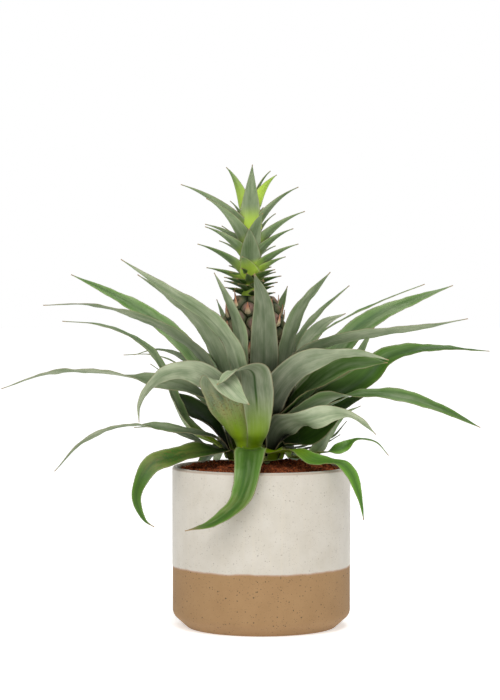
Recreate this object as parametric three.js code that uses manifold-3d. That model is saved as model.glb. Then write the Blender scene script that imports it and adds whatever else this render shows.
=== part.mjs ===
// A small ornamental pineapple plant with one fruit, standing in a round glazed pot. Millimetres, +Z up.
// The origin is the middle of the pot's flat base. -Y is the front, the side that its best leaves face.
import * as THREE from "three";
import { mergeVertices } from "three/addons/utils/BufferGeometryUtils.js";
import Module from "manifold-3d";

// Pot and soil
const POT_RADIUS = 70;
const POT_HEIGHT = 126;
const POT_WALL = 4.5;
const POT_FLOOR = 6;
const POT_BASE_RADIUS = 58.6;
const POT_SIDES = 48;
const GAP = 0.3;
const SOIL_EDGE = 122.5;
const SOIL_MOUND = 5.5;
const SOIL_LUMP = 1;

// Stump, with the flower stalk that it sends up, standing a little left of the pot's middle
const PLANT_X = -6;
const ROOT_BOTTOM = 100;
const ROOT_RADIUS = 13;
const STUMP_BOTTOM = 131;
const STUMP_TOP = 157;
const STUMP_BOTTOM_RADIUS = 20;
const STALK_RADIUS = 4;
const STALK_TOP = 206;

// Leaves
const LEAF_THICK = 0.7;
const LEAF_LAYER = 1.35;
const LEAF_STEP = 0.29;
const LEAF_SEAT = 1.05;
const FOOT_HALF_WIDTH = 6;
const FOOT_HALF_ANGLE = 0.6;
const TIP_HALF_WIDTH = 0.45;

// Fruit
const FRUIT_TOP = 259.7;
const FRUIT_RADIUS = 22.4;
const FRUIT_SIDES = 40;
const FRUIT_ROWS = 20;
const FRUITLETS = 62;
const FRUITLET_REACH = 6.8;
const FRUITLET_RAISE = 2.4;

// Crown of leaves on the fruit
const CROWN_BOTTOM = FRUIT_TOP + GAP;
const CROWN_CORE_TOP = 340;
const CROWN_BOTTOM_X = -8;
const CROWN_TOP_X = -9.5;
const CROWN_CLIMB = 0.74;
const CROWN_ROLL = 48;
const NECK_LEAVES = 20;
const BACK_CROWN_LEAVES = 10;

const GOLDEN_TURN = Math.PI * (3 - Math.sqrt(5));
const DEGREE = Math.PI / 180;

// Where the plant was looked at from. Leaf places are given as they show on the upright plane through the
// pot's middle, and each point slides along its line of sight to its own depth.
const EYE = new THREE.Vector3(-8.9, -1895, 283);

function seen(x, depth, z) {
  const t = (depth - EYE.y) / -EYE.y;
  return new THREE.Vector3(EYE.x + (x - EYE.x) * t, depth, EYE.z + (z - EYE.z) * t);
}

function smooth(t) {
  const u = Math.min(1, Math.max(0, t));
  return u * u * (3 - 2 * u);
}

function mix(a, b, t) {
  return a + (b - a) * t;
}

// A value that runs smoothly through a list of knots, spread evenly over t from 0 to 1.
function along(knots, t) {
  const place = t * (knots.length - 1);
  const i = Math.min(knots.length - 2, Math.floor(place));
  return mix(knots[i], knots[i + 1], smooth(place - i));
}

const wasm = await Module();
wasm.setup();

function geometryFrom(points, faces) {
  const geometry = new THREE.BufferGeometry();
  geometry.setAttribute("position", new THREE.Float32BufferAttribute(points, 3));
  geometry.setIndex(faces);
  geometry.computeVertexNormals();
  return geometry;
}

function solidOf(geometry) {
  const plain = geometry.clone();
  plain.deleteAttribute("normal");
  plain.deleteAttribute("uv");
  const merged = mergeVertices(plain, 1e-3);
  const index = merged.index.array;
  const kept = [];
  for (let i = 0; i < index.length; i += 3) {
    const [a, b, c] = [index[i], index[i + 1], index[i + 2]];
    if (a !== b && b !== c && c !== a) kept.push(a, b, c);
  }
  return new wasm.Manifold(
    new wasm.Mesh({
      numProp: 3,
      vertProperties: Float32Array.from(merged.attributes.position.array),
      triVerts: Uint32Array.from(kept),
    })
  );
}

function geometryOf(solid) {
  const mesh = solid.getMesh();
  return geometryFrom(Array.from(mesh.vertProperties), Array.from(mesh.triVerts));
}

// A closed skin over rows of points. Every row is a loop of the same even number of points, the first
// half on the upper face and the second half on the under face, and the first and last loops are closed
// flat.
function skin(rows) {
  const around = rows[0].length;
  const half = around / 2;
  const last = (rows.length - 1) * around;
  const faces = [];
  for (let i = 0; i + 1 < rows.length; i++) {
    for (let j = 0; j < around; j++) {
      const k = (j + 1) % around;
      const [a, b, c, d] = [i * around + j, i * around + k, (i + 1) * around + k, (i + 1) * around + j];
      // both faces are cut along the same diagonals, so that a waved blade keeps its thickness
      if (j < half) faces.push(a, b, c, a, c, d);
      else faces.push(a, b, d, b, c, d);
    }
  }
  for (let j = 0; j + 1 < half; j++) {
    const [a, b, c, d] = [j, j + 1, around - 2 - j, around - 1 - j];
    faces.push(a, d, c, a, c, b);
    faces.push(last + a, last + b, last + c, last + a, last + c, last + d);
  }
  return geometryFrom(rows.flat().flatMap((p) => [p.x, p.y, p.z]), faces);
}

// A solid of revolution about an upright axis at x, from a profile of [radius, height] that starts and
// ends on it.
function turned(profile, sides, x = 0) {
  const points = profile.map(([r, z]) => new THREE.Vector2(r, z));
  return new THREE.LatheGeometry(points, sides).rotateX(Math.PI / 2).translate(x, 0, 0);
}

function pot() {
  const inner = POT_RADIUS - POT_WALL;
  const h = POT_HEIGHT;
  return turned(
    [
      [0, 0],
      [POT_BASE_RADIUS, 0],
      [61.4, 1.1],
      [67.6, 7.2],
      [69.5, 10.2],
      [POT_RADIUS, 13.6],
      [POT_RADIUS, h - 2],
      [POT_RADIUS - 0.7, h - 0.5],
      [POT_RADIUS - 2.2, h],
      [inner + 0.8, h - 0.6],
      [inner, h - 2.2],
      [inner, POT_FLOOR + 6],
      [inner - 5, POT_FLOOR],
      [0, POT_FLOOR],
    ],
    POT_SIDES
  );
}

// Lumps of fibre and peat: three crossing waves, 10 to 30 mm long.
function lump(x, y) {
  const long = Math.sin(0.23 * x + 1) * Math.cos(0.19 * y);
  const slanting = Math.sin(0.41 * y - 0.3 * x + 2);
  return long + 0.7 * slanting + 0.4 * Math.cos(0.6 * x);
}

function soil() {
  const edge = POT_RADIUS - POT_WALL - GAP;
  const mound = (r) => SOIL_EDGE + SOIL_MOUND * (1 - (r / edge) ** 2);
  const rings = [0.94, 0.74, 0.52, 0.3];
  const body = turned(
    [
      [0, POT_FLOOR + GAP],
      [edge - 5.2, POT_FLOOR + GAP],
      [edge, POT_FLOOR + 6.4],
      [edge, SOIL_EDGE - 1],
      ...rings.map((f) => [edge * f, mound(edge * f)]),
      [0, mound(0)],
    ],
    POT_SIDES
  );
  const place = body.attributes.position;
  for (let i = 0; i < place.count; i++) {
    if (place.getZ(i) < SOIL_EDGE - 0.5) continue;
    place.setZ(i, place.getZ(i) + SOIL_LUMP * lump(place.getX(i), place.getY(i)));
  }
  const hole = new THREE.CylinderGeometry(ROOT_RADIUS + GAP, ROOT_RADIUS + GAP, 60, 24)
    .rotateX(Math.PI / 2)
    .translate(PLANT_X, 0, ROOT_BOTTOM - GAP + 30);
  return geometryOf(solidOf(body).subtract(solidOf(hole)));
}

function stump() {
  return turned(
    [
      [0, ROOT_BOTTOM],
      [ROOT_RADIUS - 3, ROOT_BOTTOM],
      [ROOT_RADIUS, ROOT_BOTTOM + 6],
      [ROOT_RADIUS, STUMP_BOTTOM - 1.5],
      [STUMP_BOTTOM_RADIUS, STUMP_BOTTOM],
      [STALK_RADIUS, STUMP_TOP],
      [STALK_RADIUS, STALK_TOP - 6],
      [STALK_RADIUS + 2, STALK_TOP],
      [0, STALK_TOP],
    ],
    24,
    PLANT_X
  );
}

// One strap leaf. It clasps the stump at its foot, where its section is an arc round the plant's axis,
// and opens to a shallow channel further out. The middle line is a smooth curve through the way points.
// The blade widens above the foot and narrows to its point by 1 - s^taper, and rolls turn it about its
// middle line, clockwise seen from the foot. A wave lifts its two margins by turns.
function strapLeaf(foot, leaf) {
  const { way, width, taper = 2.2, hollow = 0.035, rolls = [0], wave = 0, waves = 3 } = leaf;
  const { across = 3, sections = 12, opens = 0.28 } = leaf;
  const out = new THREE.Vector3(Math.cos(foot.turn), Math.sin(foot.turn), 0);
  const base = new THREE.Vector3(PLANT_X, 0, foot.z).addScaledVector(out, foot.radius);
  const rise = base.clone().addScaledVector(out, 0.6 + 0.12 * foot.radius);
  rise.z += 7;
  const stops = [base, rise, ...way.map((p) => seen(...p))];
  const curve = new THREE.CatmullRomCurve3(stops, false, "centripetal");
  curve.arcLengthDivisions = 400;
  const places = curve.getSpacedPoints(sections);
  const tip = places[sections];
  const clasp = new THREE.Vector3(-out.y, out.x, 0);
  const level = new THREE.Vector3(-tip.y, tip.x - PLANT_X, 0).normalize();
  const footHalf = Math.min(FOOT_HALF_WIDTH, foot.radius * FOOT_HALF_ANGLE);
  const lift = LEAF_THICK / 2;
  const rows = places.map((place, i) => {
    const s = i / sections;
    const forward = places[Math.min(sections, i + 1)].clone().sub(places[Math.max(0, i - 1)]).normalize();
    const side = clasp.clone().lerp(level, smooth(s / opens));
    side.addScaledVector(forward, -side.dot(forward)).normalize();
    side.applyAxisAngle(forward, along([0, ...rolls], s) * DEGREE);
    const up = forward.clone().cross(side);
    const opened = smooth(s / opens);
    const narrowing = 1 - s ** taper;
    const half = Math.max(TIP_HALF_WIDTH, mix(footHalf, width / 2, opened) * narrowing);
    const hub = 1 / mix(1 / foot.radius, hollow, opened);
    const ripple = wave * smooth(s / 0.3) * narrowing * Math.sin(2 * Math.PI * waves * s);
    const point = (v, raise) => {
      const angle = (half / hub) * v;
      return place
        .clone()
        .addScaledVector(side, Math.sin(angle) * (hub - raise))
        .addScaledVector(up, hub - Math.cos(angle) * (hub - raise) + ripple * v);
    };
    const spread = Array.from({ length: across }, (_, k) => 1 - (2 * k) / (across - 1));
    return [...spread.map((v) => point(v, lift)), ...spread.map((v) => point(-v, -lift))];
  });
  return skin(rows);
}

// A leaf's foot is a step further out than the one before it and a whole layer outside those that it
// overlaps, and it is as low on the stump as that radius is.
function seat(seated, turn) {
  let radius = STALK_RADIUS + LEAF_SEAT + LEAF_STEP * seated.length;
  for (const other of seated) {
    const apart = Math.abs(Math.atan2(Math.sin(turn - other.turn), Math.cos(turn - other.turn)));
    const span = 2 * Math.min(FOOT_HALF_ANGLE, FOOT_HALF_WIDTH / other.radius);
    if (apart < span) radius = Math.max(radius, other.radius + LEAF_LAYER);
  }
  const slope = (STUMP_TOP - STUMP_BOTTOM) / (STUMP_BOTTOM_RADIUS - STALK_RADIUS);
  const z = STUMP_TOP - (radius - LEAF_SEAT - STALK_RADIUS) * slope;
  return { turn, radius, z: Math.max(z, STUMP_BOTTOM + 1) };
}

// A leaf that arches away over the back: the height climbs with the reach and sags with its square.
function backLeaf(name, foot, turn, width, reach, climb, sag) {
  const way = [0.25, 0.5, 0.75, 1].map((u) => {
    const r = reach * u;
    const height = 145 + climb * u - sag * u * u;
    return [PLANT_X + r * Math.cos(turn * DEGREE), r * Math.sin(turn * DEGREE), height];
  });
  return { name, turn: foot, width, sections: 9, way };
}

// Leaves from the innermost to the outermost: the turn of the foot in degrees, from +X towards the back,
// and the way points to the tip as [x, depth, z] seen from the front.
const LEAVES = [
  {
    name: "leaf_front_upright",
    turn: -85,
    width: 24,
    taper: 4.2,
    hollow: 0.045,
    across: 5,
    opens: 0.45,
    way: [[-1, -15, 180], [2, -25, 205], [2, -33, 235], [1, -36, 255], [-5.5, -38, 277]],
  },
  {
    name: "leaf_fruit_back_left",
    turn: 125,
    width: 15,
    rolls: [0, -20, -30],
    way: [[-12, 17, 180], [-23, 29, 213], [-28, 35, 238], [-35, 42, 256.5]],
  },
  {
    name: "leaf_fruit_back_right",
    turn: 60,
    width: 17,
    rolls: [0],
    taper: 4,
    way: [[2, 18, 180], [7, 32, 213], [11.5, 38, 240], [20.5, 42, 267]],
  },
  {
    name: "leaf_left_inner",
    turn: -150,
    width: 18,
    taper: 3,
    way: [[-15, -11, 178], [-17, -24, 208], [-17, -28, 230], [-24, -31, 252], [-37, -35, 277.5]],
  },
  {
    name: "leaf_right_inner",
    turn: -15,
    width: 20,
    taper: 3,
    rolls: [-10, -25, -30],
    way: [[12.5, -5, 180], [19, -11, 212], [24, -16, 234], [32, -22, 252], [54, -30, 278]],
  },
  backLeaf("leaf_back_high", 106, 101, 20, 150, 187, 95),
  {
    name: "leaf_left_broad",
    turn: -115,
    width: 25,
    taper: 1.8,
    rolls: [10, 30, 25],
    across: 5,
    way: [[-13, -19.5, 177], [-19, -30, 205], [-26, -34, 224], [-42, -38, 243], [-66, -46, 259.5],
      [-110, -60, 288]],
  },
  {
    name: "leaf_right_edge",
    turn: 18,
    width: 15,
    taper: 2.6,
    rolls: [5, 20, 25],
    way: [[19, 6, 186], [27, 9, 222], [36, 10, 236], [50, 11, 251], [69, 12, 267.5]],
  },
  {
    name: "leaf_right_blunt",
    turn: 48,
    width: 25,
    taper: 2.6,
    rolls: [10, 35, 40],
    opens: 0.6,
    way: [[11, 18, 177], [24, 35, 205], [38, 45, 226], [51, 48, 239], [66, 48, 245.5]],
  },
  backLeaf("leaf_back_right_high", 86, 82, 19, 145, 160, 85),
  {
    name: "leaf_left_second",
    turn: -170,
    width: 23,
    taper: 2,
    rolls: [10, 30, 35, 30],
    way: [[-25, -4, 180], [-31, -9, 204], [-38, -15, 221], [-50, -20, 240], [-73, -27, 260],
      [-97, -32, 276]],
  },
  {
    name: "leaf_right_blade",
    turn: 0,
    width: 13,
    rolls: [0, 10, 15],
    way: [[25, 0, 186], [34, -1, 215], [48, -4, 231], [70, -7, 244], [98, -9, 257],
      [128, -11, 268.5]],
  },
  backLeaf("leaf_back_left_high", 120, 115, 19, 140, 156, 80),
  {
    name: "leaf_right_grey",
    turn: -42,
    width: 18,
    rolls: [-15, -35, -40, -25],
    opens: 0.36,
    way: [[14, -17, 182], [25, -24, 207], [44, -28, 219.5], [70, -31, 227], [100, -33, 231.5],
      [130, -35, 235.5], [162, -37, 241.5]],
  },
  {
    name: "leaf_left_high",
    turn: 178,
    width: 18,
    rolls: [10, 30, 30, 15, 12],
    way: [[-32, 1, 187], [-48, 0, 213], [-70, -3, 230.5], [-100, -6, 244], [-136, -9, 252.5],
      [-171, -12, 252]],
  },
  {
    name: "leaf_left_green",
    turn: 169,
    width: 23,
    rolls: [-10, -35, -45, -40],
    way: [[-31, 11, 179], [-46, 20, 202], [-66, 27, 226], [-88, 34, 244.5], [-118, 44, 261.5],
      [-149, 54, 276]],
  },
  {
    name: "leaf_right_high",
    turn: 24,
    width: 34,
    taper: 1.6,
    hollow: 0.06,
    rolls: [25, 42, 48, 40],
    opens: 0.4,
    way: [[32, 9, 179], [53, 15, 204], [64, 20, 219.5], [77, 24, 233.5], [98, 29, 247],
      [118, 36, 255.5], [150, 44, 267.5]],
  },
  {
    name: "leaf_left_bow",
    turn: -135,
    width: 27,
    taper: 1.9,
    rolls: [30, 60, 65, 60],
    sections: 15,
    way: [[-25, -20, 174], [-38, -31, 191], [-55, -38, 200], [-75, -44, 198], [-89.5, -48, 186],
      [-96, -50, 173], [-96, -50, 160]],
  },
  backLeaf("leaf_back_left_long", 120, 116, 18, 122, 122, 70),
  {
    name: "leaf_right_wavy",
    turn: -66,
    width: 26,
    taper: 1.9,
    wave: 3.4,
    across: 5,
    rolls: [-50, -65, -50, -30],
    sections: 16,
    way: [[5.5, -27.5, 174], [17, -34.5, 193], [31, -40, 205], [50, -45, 211.5], [70, -48, 214.5],
      [86, -50, 213], [100, -52, 209]],
  },
  backLeaf("leaf_back_right_long", 70, 68, 18, 130, 125, 75),
  {
    name: "leaf_right_dark",
    turn: -32,
    width: 33,
    taper: 2.6,
    rolls: [17, 46, 48],
    opens: 0.34,
    way: [[23, -15, 171], [37, -18.5, 185.8], [52, -21, 197], [68, -23, 203.8], [84, -26, 206],
      [99, -30, 207]],
  },
  {
    name: "leaf_back_left_pale",
    turn: 154,
    width: 12,
    rolls: [0, -20, -20],
    way: [[-31, 14, 172], [-48, 25, 200], [-65, 35, 213], [-82, 45, 217.5], [-100, 53, 213]],
  },
  backLeaf("leaf_back_middle", 98, 99, 20, 165, 135, 105),
  {
    name: "leaf_right_green",
    turn: 8,
    width: 36,
    taper: 1.5,
    hollow: 0.085,
    across: 5,
    rolls: [15, 40, 65, 35, 20, 15],
    sections: 15,
    opens: 0.2,
    way: [[29, 3, 160], [53, 5, 176], [73, 8, 188], [86, 9, 199], [98, 10, 210], [118, 11, 216],
      [145, 12, 218], [179, 14, 216]],
  },
  {
    name: "leaf_left_long",
    turn: -152,
    width: 24,
    rolls: [-10, -33, 12, 20, 15],
    opens: 0.22,
    way: [[-35, -12, 172], [-58, -17, 186], [-90, -20, 193], [-125, -21, 199], [-165, -22, 199],
      [-204, -23, 186.5]],
  },
  {
    name: "leaf_back_left_faint",
    turn: 160,
    width: 10,
    way: [[-31, 14.5, 167], [-52, 22, 195], [-70, 30, 208.5], [-88, 37, 213.5], [-108, 44, 213]],
  },
  {
    name: "leaf_right_arching",
    turn: -32,
    width: 19,
    taper: 3,
    rolls: [-10, -35, 20, 40, 45, 45],
    sections: 16,
    way: [[17, -17, 160], [34, -20, 171], [50, -22, 178], [66, -24, 181], [90, -27, 182.5],
      [116, -30, 179.5], [144, -33, 169.5], [172, -36, 156]],
  },
  {
    name: "leaf_back_right_middle",
    turn: 56,
    width: 17,
    taper: 2.4,
    rolls: [20, 60, 70],
    sections: 9,
    way: [[20, 25, 164], [42, 42, 182], [62.5, 49, 199], [76.5, 52, 214], [82, 53, 224],
      [89.5, 54, 236.3]],
  },
  {
    name: "leaf_back_left_spike",
    turn: 128,
    width: 9,
    way: [[-32, 32, 164], [-54, 47, 184], [-71, 55, 195], [-87, 61, 206]],
  },
  {
    name: "leaf_left_shaded",
    turn: 171,
    width: 31,
    rolls: [0, -25, -28],
    taper: 3.4,
    opens: 0.6,
    sections: 11,
    way: [[-30, 6, 146], [-41, 15, 159], [-54, 26, 172], [-69, 34, 184]],
  },
  {
    name: "leaf_left_whip",
    turn: -163,
    width: 18,
    taper: 1.6,
    rolls: [-10, -25, 20, 40, 35],
    way: [[-34, -14, 147], [-54, -20, 152], [-80, -24, 156.5], [-110, -27, 157], [-140, -29, 145],
      [-162.5, -31, 121.5]],
  },
  {
    name: "leaf_left_channel",
    turn: 180,
    width: 31,
    taper: 0.8,
    hollow: 0.08,
    across: 5,
    rolls: [-10, -20, -20, -5],
    sections: 18,
    opens: 0.2,
    way: [[-36, 1, 143], [-51, 2, 150], [-60, 2, 159], [-66, 3, 171], [-71, 4, 184], [-77, 5, 200],
      [-87, 6, 216], [-105, 8, 229], [-128, 10, 237], [-156, 12, 239.5]],
  },
  {
    name: "leaf_right_shaded",
    turn: 44,
    width: 25,
    rolls: [10, 40, 45],
    sections: 11,
    way: [[22, 20, 150], [39, 29, 159], [54, 35, 168], [68, 39, 176], [84, 42, 182.5]],
  },
  {
    name: "leaf_front_left_folded",
    turn: -122,
    width: 34,
    taper: 3.6,
    across: 5,
    sections: 18,
    opens: 0.42,
    way: [[-18.5, -19.5, 149], [-23, -28, 163], [-29.5, -35.5, 178], [-34.5, -45.5, 188],
      [-32.5, -56.5, 193], [-25.5, -62, 189], [-18, -63, 181], [-9.5, -62, 174]],
  },
  backLeaf("leaf_back_low", 105, 103, 18, 150, 75, 105),
  {
    name: "leaf_right_ruffled",
    turn: -46,
    width: 23,
    wave: 4.2,
    across: 5,
    rolls: [-35, -60, -60, -45],
    sections: 17,
    way: [[13, -22, 152], [24, -36, 160], [38, -46, 162], [54, -52, 166.5], [68, -56, 166.5],
      [80, -58, 160], [90, -60, 150.5]],
  },
  {
    name: "leaf_right_base",
    turn: -26,
    width: 40,
    rolls: [15, 45, 45],
    opens: 0.4,
    way: [[18, -9, 141.5], [30, -11, 144.5], [44, -13, 151.5], [61, -14, 163]],
  },
  {
    name: "leaf_back_left_base",
    turn: 152,
    width: 13,
    rolls: [0, -30, -20],
    way: [[-31, 14, 139], [-46, 23, 143], [-60, 32, 151], [-80, 43, 157], [-100, 51, 156]],
  },
  {
    name: "leaf_back_right_spike",
    turn: 50,
    width: 9,
    way: [[24, 22, 140], [42, 35, 144], [56, 44, 149], [67, 50, 161]],
  },
  {
    name: "leaf_front_folded",
    turn: -88,
    width: 31,
    taper: 4.6,
    across: 5,
    sections: 19,
    opens: 0.66,
    rolls: [0, 0, 0, 0, 22, 25],
    way: [[-3, -33.5, 151], [-3, -40.5, 168], [-4.5, -46, 187], [-6, -52, 198.5], [-10, -57, 202],
      [-18, -63, 201], [-27, -67, 197], [-35, -68, 189.5]],
  },
  {
    name: "leaf_right_rising",
    turn: 12,
    width: 17,
    rolls: [-10, -60, -60, -40],
    way: [[23, 5, 133], [37, 8, 134], [47, 10, 142], [54, 13, 153], [64, 16, 166], [78, 20, 173]],
  },
  {
    name: "leaf_left_low",
    turn: -145,
    width: 26,
    taper: 1.5,
    wave: 1.6,
    across: 5,
    rolls: [-20, -45, -45, -25],
    sections: 16,
    way: [[-32, -19, 137], [-50, -27, 137.2], [-70, -34, 132.2], [-85.2, -39, 127.4],
      [-93.5, -43, 116.2], [-98, -45, 100.5], [-91.5, -47, 83], [-84, -48, 77.5]],
  },
  {
    name: "leaf_back_right_tip",
    turn: 44,
    width: 9,
    way: [[20, 25, 136], [37, 33, 140], [49, 38, 143], [62, 42, 150.5]],
  },
  backLeaf("leaf_back_drooping", 98, 98, 17, 140, 42, 105),
  {
    name: "leaf_right_low",
    turn: -48,
    width: 17,
    taper: 2.4,
    wave: 1,
    rolls: [5, 20, 25, 20],
    sections: 16,
    way: [[10, -28, 136], [28, -38, 137.5], [41, -45, 130.5], [54, -50, 129], [63, -54, 127.5],
      [70.5, -57, 120], [75.5, -59, 107], [78.5, -60, 96], [80.5, -61, 83]],
  },
  backLeaf("leaf_back_left_drooping", 128, 123, 16, 120, 30, 88),
  backLeaf("leaf_back_right_drooping", 74, 67, 17, 134, 32, 88),
  {
    name: "leaf_right_small",
    turn: -18,
    width: 15,
    taper: 1.8,
    rolls: [0, 0, -10, 70, 10, 10, 0],
    sections: 15,
    way: [[22, -13, 133], [40, -14, 135.5], [55, -15, 137.5], [66, -16, 141.5], [76, -17, 147],
      [90, -18, 144.5], [100, -19, 134]],
  },
  {
    name: "leaf_front_drooping",
    turn: -95,
    width: 27,
    taper: 2.6,
    across: 5,
    sections: 18,
    way: [[-7, -30, 138], [-8, -45, 137], [-8.5, -60, 131], [-9.5, -71, 122.5], [-12, -77, 110],
      [-17, -79, 98], [-28, -80, 87.5], [-41, -80, 79.7], [-60, -80, 74.5]],
  },
];

function rosette() {
  const seated = [];
  return LEAVES.map((leaf) => {
    const foot = seat(seated, leaf.turn * DEGREE);
    seated.push(foot);
    return [leaf.name, strapLeaf(foot, leaf)];
  });
}

// The smooth body under the fruitlets: a barrel, from its lower pole at t = 0 to its upper pole at t = 1.
const FRUIT_MIDDLE = (STALK_TOP + GAP + FRUIT_TOP) / 2;
const FRUIT_HALF = (FRUIT_TOP - STALK_TOP - GAP) / 2 + 1.4;

function barrel(t, turn) {
  const angle = Math.PI * t;
  const r = FRUIT_RADIUS * Math.sin(angle) ** 0.72;
  const z = FRUIT_MIDDLE - FRUIT_HALF * Math.cos(angle);
  return new THREE.Vector3(PLANT_X + r * Math.cos(turn), r * Math.sin(turn), z);
}

function fruitlets() {
  return Array.from({ length: FRUITLETS }, (_, k) => {
    const t = Math.acos(1 - (2 * (k + 0.5)) / FRUITLETS) / Math.PI;
    return { place: barrel(t, k * GOLDEN_TURN), turn: k * GOLDEN_TURN, t };
  });
}

// Each fruitlet is a low dome on the barrel, and under most of them a pointed bract stands out.
function fruit() {
  const eyes = fruitlets();
  const middle = new THREE.Vector3(PLANT_X, 0, FRUIT_MIDDLE);
  const raised = (t, turn) => {
    const p = barrel(t, turn);
    const nearest = Math.min(...eyes.map((eye) => eye.place.distanceTo(p)));
    const dome = FRUITLET_RAISE * Math.max(0, 1 - (nearest / FRUITLET_REACH) ** 2);
    p.addScaledVector(p.clone().sub(middle).normalize(), dome);
    p.z = Math.min(FRUIT_TOP, Math.max(STALK_TOP + GAP, p.z));
    return p;
  };
  const points = [];
  const faces = [];
  for (let i = 1; i < FRUIT_ROWS; i++) {
    for (let j = 0; j < FRUIT_SIDES; j++) {
      const p = raised(i / FRUIT_ROWS, (2 * Math.PI * j) / FRUIT_SIDES);
      points.push(p.x, p.y, p.z);
    }
  }
  const rows = FRUIT_ROWS - 1;
  const low = rows * FRUIT_SIDES;
  points.push(PLANT_X, 0, STALK_TOP + GAP, PLANT_X, 0, FRUIT_TOP);
  for (let j = 0; j < FRUIT_SIDES; j++) {
    const k = (j + 1) % FRUIT_SIDES;
    faces.push(low, k, j);
    faces.push(low + 1, (rows - 1) * FRUIT_SIDES + j, (rows - 1) * FRUIT_SIDES + k);
    for (let i = 0; i + 1 < rows; i++) {
      const [a, b] = [i * FRUIT_SIDES + j, i * FRUIT_SIDES + k];
      faces.push(a, b, b + FRUIT_SIDES, a, b + FRUIT_SIDES, a + FRUIT_SIDES);
    }
  }
  let solid = solidOf(geometryFrom(points, faces));
  for (const { place, turn, t } of eyes) {
    if (t < 0.34 || t > 0.84) continue;
    const outward = new THREE.Vector3(Math.cos(turn), Math.sin(turn), 0);
    const bract = new THREE.ConeGeometry(2.1, 9, 3).translate(0, 2, 0).rotateX(Math.PI / 2);
    const lean = new THREE.Quaternion().setFromUnitVectors(
      new THREE.Vector3(0, 0, 1),
      outward.clone().multiplyScalar(0.55).add(new THREE.Vector3(0, 0, 1)).normalize()
    );
    bract.applyQuaternion(lean).translate(place.x, place.y, place.z - 3);
    solid = solid.add(solidOf(bract));
  }
  return geometryOf(solid);
}

// The crown's stem, leaning a little to the left, at a height.
function crownStem(z) {
  const t = (z - CROWN_BOTTOM) / (CROWN_CORE_TOP - CROWN_BOTTOM);
  return new THREE.Vector3(mix(CROWN_BOTTOM_X, CROWN_TOP_X, t), 0, z);
}

function crownCore() {
  const rows = [
    [0, 11],
    [0.1, 10.5],
    [0.25, 7.5],
    [0.6, 6],
    [0.85, 4],
    [1, 1],
  ].map(([t, radius]) => {
    const middle = crownStem(mix(CROWN_BOTTOM - 1, CROWN_CORE_TOP, t));
    return Array.from({ length: 10 }, (_, k) => {
      const turn = (2 * Math.PI * k) / 10;
      return middle.clone().add(new THREE.Vector3(Math.cos(turn) * radius, Math.sin(turn) * radius, 0));
    });
  });
  return skin(rows);
}

// A crown leaf: a keeled blade from the stem to its tip, that climbs first and then leans out. Its middle
// line is an arc of second degree and its width runs out to a point. A leaf that heads sideways is rolled
// a little, outer face to the front.
function crownLeaf(root, tip, width, steps = 5) {
  const base = crownStem(root);
  const bow = base.clone().lerp(tip, 0.4);
  bow.z = mix(base.z, tip.z, CROWN_CLIMB);
  const curve = new THREE.QuadraticBezierCurve3(base, bow, tip);
  const heading = new THREE.Vector3(tip.x - base.x, tip.y - base.y, 0).normalize();
  const level = new THREE.Vector3(-heading.y, heading.x, 0);
  const rows = Array.from({ length: steps + 1 }, (_, i) => {
    const s = i / steps;
    const place = curve.getPoint(s);
    const forward = curve.getTangent(s);
    const side = level.clone().addScaledVector(forward, -level.dot(forward)).normalize();
    side.applyAxisAngle(forward, -CROWN_ROLL * heading.x * DEGREE);
    const up = forward.clone().cross(side);
    const half = Math.max(TIP_HALF_WIDTH, (width / 2) * (1 - s ** 1.5));
    const keel = 0.22 * half;
    const thick = Math.max(0.35, 0.8 * (1 - 0.5 * s));
    return [
      place.clone().addScaledVector(side, half),
      place.clone().addScaledVector(up, thick - keel),
      place.clone().addScaledVector(side, -half),
      place.clone().addScaledVector(up, -thick - keel),
    ];
  });
  return skin(rows);
}

// Crown leaves that show from the front: tip as [x, depth, z], the height of the root and the width.
const CROWN_LEAVES = [
  [[-7, -10, 362], 312, 17],
  [[-27.5, -3, 360], 318, 14],
  [[12, -5, 354], 322, 12],
  [[7, 9, 357], 326, 10],
  [[-63, -6, 346.5], 308, 17],
  [[-43, -26, 335.5], 298, 17],
  [[29, 2, 344.5], 308, 15],
  [[34, -12, 325.5], 294, 15],
  [[1, -28, 324], 294, 15],
  [[-9.5, -32, 312], 286, 16],
  [[-44, 12, 315.5], 296, 14],
  [[-44, -16, 313.5], 288, 15],
  [[25, -8, 312], 287, 14],
  [[-33, 20, 302.5], 284, 11],
  [[11, 24, 298.5], 283, 11],
  [[-50, -6, 300], 274, 15],
  [[29, -8, 300], 277, 14],
  [[-15, -32, 290], 275, 16],
  [[-43, -4, 281.5], 269, 12],
  [[19, -5, 290], 273, 13],
];

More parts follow.
